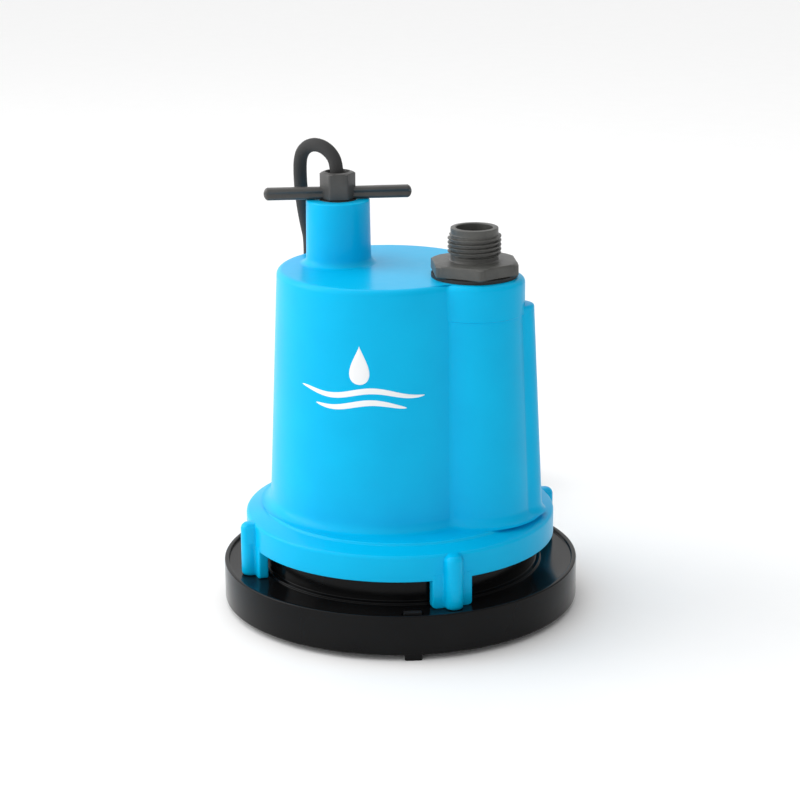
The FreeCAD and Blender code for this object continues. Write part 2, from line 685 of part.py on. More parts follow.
def make_end_bell():
    """Upper bracket: a plate on four legs with the top bearing's seat in its hub."""
    plate = cylinder("bell_plate", core_radius, s.bell_thick, motor_offset, 0, s.bell_level)
    hub = cylinder("bell_hub", s.upper_race + 3.0, s.upper_width + s.bell_thick + 1.0,
                   motor_offset, 0, s.bell_level)
    legs = motor_ring("bell_leg", bolt_circle, s.post_radius, core_top, s.bell_level - core_top + 0.5)
    windows = []
    for i, angle in enumerate((0, 90, 180, 270)):
        windows.append(block(f"bell_window_{i}", core_radius - s.upper_race - 11.5, 22.0, 10,
                             s.upper_race + 6.0, s.bell_level - 4, angle, x=motor_offset))
    tools = [cylinder("bell_bearing_seat", s.upper_race, 20, motor_offset, 0, upper_level),
             cylinder("bell_shaft_hole", s.shaft_radius + 1.5, 20, motor_offset, 0, s.bell_level - 5)]
    tools += motor_ring("bell_hole", bolt_circle, s.bolt_radius + s.run_gap, core_top - 1, 40)
    solid = fuse("bell_solid", plate, hub, *legs)
    node("upper_end_bell", cut("upper_end_bell_body", solid, *windows, *tools))


def make_through_bolts():
    """Four long bolts that clamp bell and core onto the plate's posts."""
    shanks = motor_ring("bolt_shank", bolt_circle, s.bolt_radius, bolt_low, upper_level - bolt_low + 0.5)
    heads = [prism(f"bolt_head_{i}", 3.9, 2.8, motor_offset + around(bolt_circle, angle)[0],
                   around(bolt_circle, angle)[1], upper_level)
             for i, angle in enumerate(lug_angles)]
    node("motor_through_bolts", fuse("through_bolt_set", *shanks, *heads))


def make_rotor():
    """Stepped shaft with the rotor stack and its cast cage."""
    low_end = s.impeller_level - 6.0
    node("motor_shaft", turned("motor_shaft", [
        (0, low_end), (3.6, low_end), (4.0, low_end + 0.4), (4.0, s.impeller_level + 2.0),
        (s.shaft_radius, s.impeller_level + 2.0), (s.shaft_radius, upper_level - 1.0),
        (s.shaft_radius - 1.0, upper_level - 1.0), (s.shaft_radius - 1.0, shaft_top - 0.6),
        (s.shaft_radius - 1.6, shaft_top), (0, shaft_top)], x=motor_offset))
    edge = s.core_bore - s.air_gap
    bar_mid, bar_radius = edge - 3.2, 1.8
    stack = cylinder("rotor_stack", edge, s.core_rise, motor_offset, 0, s.core_level)
    bore = cylinder("rotor_bore", s.shaft_radius, s.core_rise + 2, motor_offset, 0, s.core_level - 1)
    holes, bars = [], []
    for i in range(16):
        x, y = around(bar_mid, i * 22.5)
        x = motor_offset + x
        holes.append(cylinder(f"rotor_slot_{i}", bar_radius, s.core_rise + 2, x, y, s.core_level - 1))
        bars.append(cylinder(f"rotor_bar_{i}", bar_radius - 0.02, s.core_rise + 2, x, y, s.core_level - 1))
    node("rotor_core", cut("rotor_core_body", stack, bore, *holes))
    inner, outer = bar_mid - 4.0, edge - 0.3
    low_end, top_end = s.core_level - s.cage_ring, core_top + s.cage_ring
    rings = [sleeve("cage_ring_low", inner, outer, low_end, s.core_level, motor_offset),
             sleeve("cage_ring_top", inner, outer, core_top, top_end, motor_offset)]
    node("rotor_cage", fuse("rotor_cage_body", *rings, *bars))


def make_impeller():
    """Semi-open impeller: a shroud with five swept-back vanes below it, on a hub."""
    vane_top = s.impeller_level + s.vane_rise
    hub = s.shaft_radius + 2.5
    wheel = turned("impeller", [
        (s.shaft_radius, s.impeller_level + 2.0), (s.shaft_radius, impeller_top),
        (s.impeller_radius, impeller_top), (s.impeller_radius, vane_top),
        (hub, vane_top), (hub, s.impeller_level),
        (4.05, s.impeller_level), (4.05, s.impeller_level + 2.0)], x=motor_offset)
    reach = s.impeller_radius - 0.6
    middle, tip = reach * 0.62, reach * 0.84
    half = s.vane_thick / 2
    vane = [(hub - 1.0, -half), (middle, -6.6), (tip, -16.6), (tip + 1.9, -15.2),
            (middle + 1.4, -4.6), (hub - 1.0, half + 0.4)]
    repeated_pad(wheel, "vanes", vane, s.impeller_level, s.vane_rise + 0.5, 5)
    node("impeller", wheel)
    nut = prism("impeller_nut_hex", 7.0, 4.6, motor_offset, 0, s.impeller_level - 4.7)
    nut_hole = cylinder("impeller_nut_hole", 4.0, 8, motor_offset, 0, s.impeller_level - 6)
    node("impeller_nut", cut("impeller_nut_body", nut, nut_hole))


def make_electrics():
    """Overload switch on the winding, run capacitor above the motor, crimped leads from the cord."""
    lay = Rotation(Vector(0, 1, 0), 90)
    can_level = cavity_top - s.can_radius - 1.5
    can_start = motor_offset - 26.0
    can = cylinder("capacitor_can", s.can_radius, s.can_long, can_start, s.can_side, can_level, lay)
    lid = cylinder("capacitor_lid", s.can_radius - 1.5, s.lid_long, can_start + s.can_long - 0.5,
                   s.can_side, can_level, lay)
    node("run_capacitor", fuse("run_capacitor_body", can, lid))
    node("thermal_protector", block("thermal_protector", 9.0, 18.0, s.switch_thick, s.core_bore + 1.0,
                                    core_top + s.winding_reach + 0.2, 315, x=motor_offset))
    make_leads()


def make_leads():
    """Three wires out of the cord's jacket, each crimped in a cap to a wire down to the winding."""
    tower, jacket = s.tower_offset.value, jacket_end.value
    slot = slot_mid.value
    caps, wires = [], []
    for i, angle in enumerate((100, 180, 260)):
        dx, dy = around(4.0, angle)
        x = tower + dx - 3.0
        winding_x = motor_offset.value - slot
        top = [(tower + dx * 0.4, dy * 0.4, jacket - 0.7), (x, dy * 1.2, jacket - 5.0)]
        low = [(x, dy * 1.2, jacket - 13.0), (x - 5.0, dy * 1.5, jacket - 18.0),
               (winding_x, dy * 1.7, jacket - 24.0),
               (winding_x, dy * 1.7, (core_top + s.winding_reach).value)]
        wires += [tube_along(top, 0.55), tube_along(low, 1.0)]
        caps.append(cylinder(f"lead_cap_{i}", 2.1, 8.0, x, dy * 1.2, jacket_end - 13.0))
    node("lead_connectors", fuse("lead_connector_set", *caps))
    feature("motor_leads", Part.Compound(wires))


# ---------------------------------------------------------------- gland and hose adapter

def make_gland():
    """Grommet, slip washer and the hand-turned nut with its cross bar."""
    x = s.tower_offset
    hole = s.cord_radius + 0.02
    neck = cord_hole - 0.7
    shank = s.gland_bore - s.run_gap
    node("cord_grommet", turned("cord_grommet", [
        (hole, gland_seat), (shank, gland_seat), (shank, grommet_top),
        (neck, grommet_top), (s.cord_radius + 0.8, cord_start), (hole, cord_start)], x=x))
    node("cord_inner_jacket", cylinder("cord_inner_jacket", s.cord_radius, cord_start - jacket_end,
                                       x, 0, jacket_end))
    node("gland_slip_washer", sleeve("gland_slip_washer", cord_hole, shank,
                                     grommet_top + 0.02, slip_top, x))
    collar = cylinder("nut_shank", shank, nut_seat - slip_top - 0.02 + 0.5, x, 0, slip_top + 0.02)
    hexagon = prism("nut_hexagon", s.nut_corner, s.nut_rise, x, 0, nut_seat, s.bar_turn.value)
    crown = cone("nut_crown", s.nut_corner + 4.2, s.nut_corner - 1.0, 5.2, x, 0, nut_top - 5.2)
    sides = cylinder("nut_sides", s.nut_corner + 0.1, s.nut_rise - 5.1, x, 0, nut_seat)
    head = doc.addObject("Part::MultiCommon", "nut_head")
    head.Shapes = [hexagon, fuse("nut_envelope", crown, sides)]
    nut = fuse("nut_solid", head, collar, make_cross_bar())
    hole = cylinder("nut_cord_hole", cord_hole, 60, x, 0, slip_top - 5)
    node("gland_nut", cut("gland_nut_body", nut, hole))


def make_cross_bar():
    """Round-ended bar through the nut's head with a groove along each side."""
    half = s.bar_length / 2
    rail = s.bar_width / 2
    level = nut_seat + s.bar_rise / 2
    turn = about_z(s.bar_turn.value)
    bars = []
    x, y = around(-half, s.bar_turn.value)
    lay = turn.multiply(Rotation(Vector(0, 1, 0), 90))
    for name, drop in (("upper", s.bar_rise / 2 - rail), ("lower", rail - s.bar_rise / 2)):
        rod = cylinder(f"bar_{name}", rail, s.bar_length, s.tower_offset + x, y, level + drop, lay)
        bars.append(rounded(f"bar_{name}_ends", rod, rail * 0.8,
                            lambda edge: isinstance(edge.Curve, Part.Circle)))
    body = fuse("bar_solid", *bars)
    grooves = []
    for i, side in enumerate((90, -90)):
        gx, gy = around(rail + 0.35, s.bar_turn.value + side)
        grooves.append(cylinder(f"bar_groove_{i}", 1.15, s.bar_length - 8.0, s.tower_offset + x * 0.9 + gx,
                                y * 0.9 + gy, level, lay))
    return cut("cross_bar", body, *grooves)


def make_hose_adapter():
    """Hexagon with a spigot below it in the boss and a garden-hose thread above it."""
    x = s.duct_offset
    spigot = boss_thread - s.run_gap
    land, flank = 0.3, 0.75
    outline = [(s.hose_bore, spigot_end), (spigot - 0.8, spigot_end), (spigot, spigot_end + 1.2),
               (spigot, hex_level + 0.5), (s.hose_root, hex_level + 0.5)]
    first = hex_top + 3.4
    for i in range(5):
        mid = first + s.hose_pitch * i
        outline += [(s.hose_root, mid - land / 2 - flank), (s.hose_crest, mid - land / 2),
                    (s.hose_crest, mid + land / 2), (s.hose_root, mid + land / 2 + flank)]
    outline += [(s.hose_root, hose_top - 0.5), (s.hose_root - 0.5, hose_top), (s.hose_bore, hose_top)]
    tube = turned("hose_tube", outline, x=x)
    hexagon = prism("hose_hexagon", s.hex_corner, s.hex_rise, x, 0, hex_level, 1.4)
    bore = cylinder("hose_bore_tool", s.hose_bore, 80, x, 0, spigot_end - 5)
    chamfer = cone("hexagon_chamfer", s.hex_corner + 3.4, s.hex_corner - 0.9, 4.3, x, 0, hex_top - 4.3)
    sides = cylinder("hexagon_sides", s.hex_corner + 0.1, s.hex_rise - 4.2, x, 0, hex_level)
    head = doc.addObject("Part::MultiCommon", "hose_head")
    head.Shapes = [hexagon, fuse("hexagon_envelope", chamfer, sides)]
    node("hose_adapter", fuse("hose_adapter_body", tube, cut("hose_head_ring", head, bore)))
    node("adapter_gasket", sleeve("adapter_gasket", spigot + 0.05, s.washer_radius, boss_top,
                                  hex_level - 0.02, x))


# ---------------------------------------------------------------- cord, coil and plug

# The cord's route from the top of the gland, over its loop, down behind the drum and along
# the floor to the coil. Points are chosen by hand.
CORD_ROUTE = [
    (-34.1, 0.0, 214.1), (-34.1, 0.0, 228.4), (-38.4, 0.2, 234.9), (-45.6, 1.2, 237.9),
    (-53.1, 3.0, 236.3), (-58.3, 4.8, 230.6), (-59.9, 7.2, 218.5), (-61.0, 11.2, 205.5),
    (-62.6, 17.9, 192.5), (-65.5, 27.5, 181.0), (-69.5, 33.0, 158.0), (-74.0, 38.5, 130.0),
    (-79.0, 44.0, 101.0), (-85.5, 51.0, 71.0), (-93.5, 60.5, 43.0), (-102.5, 73.0, 20.0),
    (-110.0, 88.0, 5.2), (-114.5, 105.0, 3.5), (-116.5, 122.0, 3.5),
]
COIL_CENTRE = (-71.0, 143.0)


def route_edges(points):
    """Straight runs joined by tangent arcs, each as large as its two runs allow."""
    edges = []
    radii = []
    last = points[0]
    for before, corner, after in zip(points, points[1:], points[2:]):
        back, ahead = before - corner, after - corner
        bend = math.pi - back.getAngle(ahead)
        shorter = min(back.Length, ahead.Length)
        setback = 0.45 * shorter
        radii.append(setback / math.tan(bend / 2))
        start = corner + back.normalize() * setback
        end = corner + ahead.normalize() * setback
        inward = (start + end) * 0.5 - corner
        gap = radii[-1] / math.cos(bend / 2) - radii[-1]
        edges += [Part.LineSegment(last, start).toShape(),
                  Part.Arc(start, corner + inward.normalize() * gap, end).toShape()]
        last = end
    edges.append(Part.LineSegment(last, points[-1]).toShape())
    return edges, radii


def tube_along(points, radius):
    """A round solid along a route. Its volume is compared with its section times its length."""
    points = [Vector(*point) for point in points]
    edges, radii = route_edges(points)
    wire = Part.Wire(edges)
    along = (points[1] - points[0]).normalize()
    ring = Part.Wire([Part.Circle(points[0], along, radius).toShape()])
    solid = wire.makePipeShell([ring], True, False)
    wanted = math.pi * radius ** 2 * wire.Length
    if radii:
        print(f"route {wire.Length:.1f} mm, arc radii {[round(r, 1) for r in radii]}, "
              f"volume ratio {solid.Volume / wanted:.4f}")
    return solid


def carried(x, y, z):
    """A cord point moved up with the gland's height and out with the base's width."""
    lift = (cord_start.value - CORD_ROUTE[0][2]) * min(max((z - 43.0) / 138.0, 0.0), 1.0)
    out = (s.base_radius.value - 92.8) * min(max((130.0 - z) / 87.0, 0.0), 1.0)
    return x - 0.45 * out, y + 0.9 * out, z + lift


def make_cord():
    """The cord's uncoiled stretch, its put-away coil, and the plug that lies on the coil."""
    route = [carried(*point) for point in CORD_ROUTE]
    feature("power_cord", tube_along(route, s.cord_radius.value))
    centre_x, centre_y, _ = carried(*COIL_CENTRE, 0.0)
    radius = s.cord_radius
    inner, outer = s.coil_mean - 2 * radius, s.coil_mean + 2 * radius
    top = 2 * radius * s.coil_layers
    section = round_section(inner, outer, as_size(0), top, radius)
    node("cord_coil", turned("cord_coil", section, x=centre_x, y=centre_y))
    make_plug(centre_x, centre_y + s.coil_mean, top)


def make_plug(centre_x, centre_y, level):
    """Moulded three-pin plug lying on the coil, pins outwards."""
    start = centre_x + 0.5
    middle = level + s.plug_tall / 2
    lay = Rotation(Vector(0, 1, 0), 90)
    shell = block("plug_shell", s.plug_long, s.plug_wide, s.plug_tall, start, level, 0)
    tie(shell, "Placement.Base.y", centre_y - s.plug_wide / 2)
    soft = rounded("plug_soft_shell", shell, as_size(4.0),
                   lambda edge: abs(edge.tangentAt(edge.FirstParameter).x) > 0.9)
    neck = cone("plug_neck", 5.4, 8.6, s.neck_long)
    place(neck, start - s.neck_long + 0.5, centre_y, middle, lay)
    node("power_plug", fuse("power_plug_body", soft, neck))
    face = start + s.plug_long
    pins = []
    for i, side in enumerate((-0.5, 0.5)):
        blade = block(f"plug_blade_{i}", s.blade_long, s.blade_thick, s.blade_wide, face, middle + 0.5, 0)
        tie(blade, "Placement.Base.y", centre_y + side * s.blade_pitch - s.blade_thick / 2)
        pins.append(blade)
    pins.append(cylinder("plug_ground", 2.4, s.blade_long + 3.0, face, centre_y, middle - 5.5, lay))
    node("plug_prongs", fuse("plug_prong_set", *pins))


# ---------------------------------------------------------------- build, check, write

def build():
    make_base()
    make_strainer()
    make_base_screws()
    make_housing()
    make_seal_plate()
    make_bearing("lower_bearing", s.shaft_radius, s.lower_race, bearing_level, s.lower_width)
    make_bearing("upper_bearing", s.shaft_radius - 1.0, s.upper_race, upper_level, s.upper_width)
    make_stator()
    make_end_bell()
    make_through_bolts()
    make_rotor()
    make_impeller()
    make_electrics()
    make_gland()
    make_hose_adapter()
    make_cord()
    doc.recompute()


def check():
    for obj in doc.Objects:
        bad = [state for state in obj.State if state in ("Invalid", "Error")]
        if bad:
            raise RuntimeError(f"{obj.Name} is {bad}")
    for obj in nodes:
        if obj.Shape.isNull() or not obj.Shape.isValid():
            raise RuntimeError(f"{obj.Label} has no valid shape")


def write():
    os.makedirs("parts", exist_ok=True)
    for obj in nodes:
        obj.Shape.exportStep(f"parts/{obj.Label}.step")
        print(f"{obj.Label}: {len(obj.Shape.Solids)} solid(s), {obj.Shape.Volume / 1000:.2f} cm3")


build()
check()
write()
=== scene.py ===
"""Submersible sump pump: finished surfaces, cord, materials, studio and camera.

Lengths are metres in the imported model's frame: +Z is up, the floor is z = 0, and +X points
from the cord tower towards the discharge boss.
"""

import json
import logging
import math
from dataclasses import dataclass, field
from enum import Enum
from typing import Sequence

import bpy
import numpy as np
from mathutils import Matrix, Vector


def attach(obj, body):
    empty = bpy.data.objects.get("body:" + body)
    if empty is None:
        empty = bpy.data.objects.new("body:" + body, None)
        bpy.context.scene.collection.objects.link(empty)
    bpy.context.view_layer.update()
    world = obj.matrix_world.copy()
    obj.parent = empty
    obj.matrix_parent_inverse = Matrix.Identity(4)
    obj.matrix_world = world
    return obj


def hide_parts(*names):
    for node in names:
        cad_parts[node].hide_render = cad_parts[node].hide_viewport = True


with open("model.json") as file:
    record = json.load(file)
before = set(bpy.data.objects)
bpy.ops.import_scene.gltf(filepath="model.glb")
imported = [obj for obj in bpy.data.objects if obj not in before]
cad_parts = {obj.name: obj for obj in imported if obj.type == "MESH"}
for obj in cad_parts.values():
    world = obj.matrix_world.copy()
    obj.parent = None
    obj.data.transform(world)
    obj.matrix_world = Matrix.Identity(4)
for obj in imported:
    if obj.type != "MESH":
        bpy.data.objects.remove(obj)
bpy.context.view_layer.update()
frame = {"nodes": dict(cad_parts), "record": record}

LOG = logging.getLogger("pump")
Array = np.ndarray
Piece = bpy.types.Object
Circle = tuple[float, float, float]
TAU = 2 * math.pi


# ---------------------------------------------------------------- surfaces on grids

def smooth_union(first: Array, second: Array, blend: float) -> Array:
    """The larger of two fields, rounded where they meet.

    Formula: max(a, b) + h * h / (4 * blend), where h = max(blend - |a - b|, 0).

    Args:
        first: one field.
        second: the other field.
        blend: how far apart two values still round into each other.

    Returns:
        The blended field.
    """
    near = np.maximum(blend - np.abs(first - second), 0.0)
    return np.maximum(first, second) + near * near / (4 * blend)


def smooth_step(low: float, high: float, value: Array) -> Array:
    """Rise from 0 at low to 1 at high, by t * t * (3 - 2 * t).

    Args:
        low: where the rise starts.
        high: where it ends.
        value: the places to work out.

    Returns:
        The share risen at each place.
    """
    share = np.clip((value - low) / (high - low), 0.0, 1.0)
    return share * share * (3 - 2 * share)


def rounded_path(corners: Sequence[tuple[float, float, float]], steps: int = 5,
                 closed: bool = True) -> Array:
    """Straight sides with a round at each corner.

    Formula: a corner's arc meets its sides at radius / tan(half angle) from the corner, about a
    centre radius / sin(half angle) along the corner's bisector.

    Args:
        corners: across, up and radius of each corner in order.
        steps: spans in each arc.
        closed: whether the last corner joins the first.

    Returns:
        Points of shape (count, 2).
    """
    spots = np.array([corner[:2] for corner in corners], float)
    parts = []
    for i, (across, up, radius) in enumerate(corners):
        here = np.array((across, up))
        if radius <= 0 or (not closed and i in (0, len(corners) - 1)):
            parts.append(here[None])
            continue
        back = spots[i - 1] - here
        ahead = spots[(i + 1) % len(spots)] - here
        back, ahead = back / np.linalg.norm(back), ahead / np.linalg.norm(ahead)
        half = math.acos(float(np.clip(back @ ahead, -1, 1))) / 2
        bisector = (back + ahead) / np.linalg.norm(back + ahead)
        centre = here + bisector * radius / math.sin(half)
        start, end = here + back * radius / math.tan(half), here + ahead * radius / math.tan(half)
        first = math.atan2(*(start - centre)[::-1])
        sweep = (math.atan2(*(end - centre)[::-1]) - first + math.pi) % TAU - math.pi
        turn = first + sweep * np.linspace(0, 1, steps + 1)
        parts.append(centre + radius * np.stack((np.cos(turn), np.sin(turn)), axis=1))
    return np.concatenate(parts)


def revolve(profile: Array, count: int, centre: tuple[float, float] = (0.0, 0.0)) -> Array:
    """A (radius, level) profile turned about an upright axis.

    Formula: (x, y, z) = (cx + r cos t, cy + r sin t, level).

    Args:
        profile: points of shape (rows, 2).
        count: columns round the axis.
        centre: where the axis stands.

    Returns:
        Rings of shape (rows, count, 3).
    """
    turn = np.arange(count) * TAU / count
    radius, level = profile[:, :1], profile[:, 1:]
    return np.stack((centre[0] + radius * np.cos(turn), centre[1] + radius * np.sin(turn),
                     np.broadcast_to(level, (len(profile), count))), axis=2)


def extrude(outline: Array, sections: Sequence[tuple[float, float]]) -> Array:
    """A plan outline carried up through levels, drawn in towards its middle at each.

    Formula: p = middle + (outline - middle) * (1 - inset / reach), at the section's level.

    Args:
        outline: plan points of shape (count, 2).
        sections: (level, inset) pairs from one end to the other.

    Returns:
        Rings of shape (sections, count, 3).
    """
    middle = outline.mean(axis=0)
    reach = np.linalg.norm(outline - middle, axis=1, keepdims=True)
    rings = []
    for level, inset in sections:
        plan = middle + (outline - middle) * (1 - inset / reach)
        rings.append(np.column_stack((plan, np.full(len(plan), level))))
    return np.array(rings)


def turned_about_z(points: Array, angle: float) -> Array:
    """Points turned about the upright axis through the origin by an angle in degrees."""
    turn = math.radians(angle)
    spin = np.array(((math.cos(turn), math.sin(turn), 0), (-math.sin(turn), math.cos(turn), 0), (0, 0, 1)))
    return points @ spin


@dataclass
class Skin:
    """Closed surfaces gathered into one mesh, each turned to face outwards."""

    points: list[Array] = field(default_factory=list)
    faces: list[Array] = field(default_factory=list)
    count: int = 0

    def add(self, rings: Array, loop: bool = False, hollow: bool = False) -> "Skin":
        """Join rings into a closed surface.

        Each ring closes on itself. The quads are (i, j), (i, j+1), (i+1, j+1), (i+1, j).

        Args:
            rings: points of shape (rows, columns, 3).
            loop: whether the last ring joins the first; otherwise fans close both ends.
            hollow: whether the surface bounds an empty room, so that it faces inwards.

        Returns:
            This skin.
        """
        rows, columns = rings.shape[:2]
        grid = np.arange(rows * columns).reshape(rows, columns)
        upper = np.roll(grid, -1, axis=0) if loop else grid[1:]
        lower = grid if loop else grid[:-1]
        quads = np.stack((lower, np.roll(lower, -1, axis=1), np.roll(upper, -1, axis=1), upper), axis=2)
        points, faces = rings.reshape(-1, 3), [quads.reshape(-1, 4)]
        if not loop:
            ends = np.stack((rings[0].mean(axis=0), rings[-1].mean(axis=0)))
            hub = rows * columns
            points = np.concatenate((points, ends))
            faces.append(np.stack((np.roll(grid[0], -1), grid[0], np.full(columns, hub)), axis=1))
            faces.append(np.stack((grid[-1], np.roll(grid[-1], -1), np.full(columns, hub + 1)), axis=1))
        volume = sum(signed_volume(points, part) for part in faces)
        if (volume < 0) != hollow:
            faces = [part[:, ::-1] for part in faces]
        self.points.append(points)
        self.faces += [part + self.count for part in faces]
        self.count += len(points)
        return self

    def build(self, name: str, finish: "Finish", sharp: float = 32.0) -> Piece:
        """Make the mesh object.

        Args:
            name: the piece's name.
            finish: its material.
            sharp: edges that turn by more than this many degrees stay sharp.

        Returns:
            The object, at the origin.
        """
        mesh = bpy.data.meshes.new(name)
        faces = [face for part in self.faces for face in part.tolist()]
        mesh.from_pydata(np.concatenate(self.points).tolist(), [], faces)
        mesh.polygons.foreach_set("use_smooth", np.ones(len(mesh.polygons), bool))
        mesh.set_sharp_from_angle(angle=math.radians(sharp))
        mesh.materials.append(finish.material())
        mesh.update()
        piece = bpy.data.objects.new(name, mesh)
        bpy.context.scene.collection.objects.link(piece)
        return piece


def signed_volume(points: Array, faces: Array) -> float:
    """Sum of a . (b x c) / 6 over the faces' triangles, positive where they face outwards."""
    total = 0.0
    for second in range(1, faces.shape[1] - 1):
        a, b, c = points[faces[:, 0]], points[faces[:, second]], points[faces[:, second + 1]]
        total += float(np.einsum("ij,ij->", a, np.cross(b, c))) / 6
    return total


def carve(piece: Piece, cutter: Piece) -> Piece:
    """Take a closed cutter out of a piece, then delete the cutter.

    The solver can drop a closed shell that overlaps the one being cut.

    Args:
        piece: the piece to cut.
        cutter: the closed mesh that is taken out of it.

    Returns:
        The piece, with the cut applied.
    """
    cut = piece.modifiers.new("openings", "BOOLEAN")
    cut.operation, cut.solver, cut.object = "DIFFERENCE", "EXACT", cutter
    graph = bpy.context.evaluated_depsgraph_get()
    mesh = bpy.data.meshes.new_from_object(piece.evaluated_get(graph))
    piece.modifiers.clear()
    old, piece.data = piece.data, mesh
    mesh.name = piece.name
    mesh.set_sharp_from_angle(angle=math.radians(32.0))
    bpy.data.meshes.remove(old)
    bpy.data.objects.remove(cutter)
    return piece


def fit(piece: Piece, body: str, slot: str, *nodes: str) -> Piece:
    """Put a piece on its body, hide the nodes it stands for, and report it with them."""
    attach(piece, body)
    if nodes:
        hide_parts(*nodes)
    LOG.info("%s rides on %s and stands for %s", piece.name, body, ", ".join(nodes) or "no node")
    return piece


# ---------------------------------------------------------------- finishes

class Grain(Enum):
    """How a finish's fine relief runs."""

    SPECKLE = "speckle"
    PEEL = "peel"
    TURNED = "turned"
    LAYERS = "layers"
    WOUND = "wound"


@dataclass(frozen=True)
class Finish:
    """A surface finish: colour with its drift, gloss with its drift, and fine relief.

    The colour drifts by a slow noise, the roughness by a quicker one, and the relief is a
    bump from the grain's own pattern. All patterns read Object coordinates.
    """

    name: str
    colour: tuple[float, float, float]
    shade: tuple[float, float, float]
    roughness: float
    roughness_drift: float = 0.06
    metallic: float = 0.0
    coat: float = 0.0
    coat_roughness: float = 0.05
    specular: float = 0.5
    grain: Grain = Grain.SPECKLE
    grain_scale: float = 2500.0
    relief: float = 0.1
    depth: float = 0.00005
    drift_scale: float = 35.0

    def material(self) -> bpy.types.Material:
        """The finish's material, made once and then shared."""
        found = bpy.data.materials.get(self.name)
        if found:
            return found
        made = bpy.data.materials.new(self.name)
        made.use_nodes = True
        made.diffuse_color = (*self.colour, 1.0)
        self.fill(made.node_tree)
        return made

    def fill(self, tree: bpy.types.NodeTree) -> None:
        """Build the shader.

        Args:
            tree: the material's node tree.
        """
        nodes, links = tree.nodes, tree.links
        shader = nodes["Principled BSDF"]
        shader.inputs["Metallic"].default_value = self.metallic
        shader.inputs["Coat Weight"].default_value = self.coat
        shader.inputs["Coat Roughness"].default_value = self.coat_roughness
        shader.inputs["Specular IOR Level"].default_value = self.specular
        place = nodes.new("ShaderNodeTexCoord").outputs["Object"]
        slow = self.noise(tree, place, self.drift_scale, 3.0)
        ramp = nodes.new("ShaderNodeValToRGB")
        ramp.color_ramp.elements[0].position = 0.32
        ramp.color_ramp.elements[0].color = (*self.shade, 1.0)
        ramp.color_ramp.elements[1].position = 0.68
        ramp.color_ramp.elements[1].color = (*self.colour, 1.0)
        links.new(slow, ramp.inputs["Fac"])
        links.new(ramp.outputs["Color"], shader.inputs["Base Color"])
        spread = nodes.new("ShaderNodeMapRange")
        spread.inputs["To Min"].default_value = max(self.roughness - self.roughness_drift, 0.02)
        spread.inputs["To Max"].default_value = min(self.roughness + self.roughness_drift, 1.0)
        links.new(self.noise(tree, place, self.drift_scale * 6, 4.0), spread.inputs["Value"])
        links.new(spread.outputs["Result"], shader.inputs["Roughness"])
        bump = nodes.new("ShaderNodeBump")
        bump.inputs["Strength"].default_value = self.relief
        bump.inputs["Distance"].default_value = self.depth
        links.new(self.pattern(tree, place), bump.inputs["Height"])
        links.new(bump.outputs["Normal"], shader.inputs["Normal"])

    def noise(self, tree: bpy.types.NodeTree, place: bpy.types.NodeSocket, scale: float,
              detail: float) -> bpy.types.NodeSocket:
        """A noise field.

        Args:
            tree: the node tree.
            place: the coordinates it reads.
            scale: its cells per metre.
            detail: its octaves.

        Returns:
            The noise's value.
        """
        made = tree.nodes.new("ShaderNodeTexNoise")
        made.inputs["Scale"].default_value = scale
        made.inputs["Detail"].default_value = detail
        tree.links.new(place, made.inputs["Vector"])
        return made.outputs["Fac"]

    def pattern(self, tree: bpy.types.NodeTree, place: bpy.types.NodeSocket) -> bpy.types.NodeSocket:
        """The relief's height for this finish's grain.

        Args:
            tree: the node tree.
            place: the coordinates it reads.

        Returns:
            The height.
        """
        if self.grain in (Grain.SPECKLE, Grain.PEEL):
            return self.noise(tree, place, self.grain_scale, 2.0 if self.grain is Grain.PEEL else 6.0)
        wave = tree.nodes.new("ShaderNodeTexWave")
        wave.wave_type = "RINGS" if self.grain is Grain.TURNED else "BANDS"
        if self.grain is Grain.TURNED:
            wave.rings_direction = "Z"
        else:
            wave.bands_direction = "Z" if self.grain is Grain.LAYERS else "DIAGONAL"
        wave.inputs["Scale"].default_value = self.grain_scale
        wave.inputs["Distortion"].default_value = 0.6 if self.grain is Grain.WOUND else 0.15
        tree.links.new(place, wave.inputs["Vector"])
        return wave.outputs["Fac"]


COATING = Finish("sky_blue_coating", (0.0, 0.475, 0.81), (0.0, 0.445, 0.775), 0.32, 0.04, coat=0.09,
                 coat_roughness=0.08, specular=0.07, grain=Grain.PEEL, grain_scale=420.0,
                 relief=0.10, depth=0.0001)
BASE = Finish("gloss_black_moulding", (0.005, 0.005, 0.0052), (0.003, 0.003, 0.0033), 0.16, 0.04,
              specular=0.12, grain=Grain.PEEL, grain_scale=260.0, relief=0.05, depth=0.0001)
STRAINER = Finish("satin_black_moulding", (0.014, 0.014, 0.015), (0.009, 0.009, 0.01), 0.42,
                  grain_scale=1800.0, relief=0.2)
NUT = Finish("dark_grey_moulding", (0.064, 0.062, 0.059), (0.046, 0.045, 0.043), 0.40, 0.07,
             grain_scale=1500.0, relief=0.22, depth=0.00008, drift_scale=90.0)
ADAPTER = Finish("charcoal_moulding", (0.078, 0.078, 0.072), (0.054, 0.054, 0.050), 0.42, 0.08,
                 grain_scale=1300.0, relief=0.30, depth=0.0001, drift_scale=110.0)
RUBBER = Finish("black_rubber", (0.012, 0.012, 0.012), (0.008, 0.008, 0.008), 0.62,
                grain_scale=2200.0, relief=0.25)
JACKET = Finish("cord_jacket", (0.030, 0.030, 0.030), (0.021, 0.021, 0.021), 0.33, 0.05,
                grain=Grain.PEEL, grain_scale=700.0, relief=0.12, drift_scale=60.0)
PLUG = Finish("moulded_vinyl", (0.024, 0.024, 0.025), (0.017, 0.017, 0.018), 0.46,
              grain_scale=1600.0, relief=0.25)
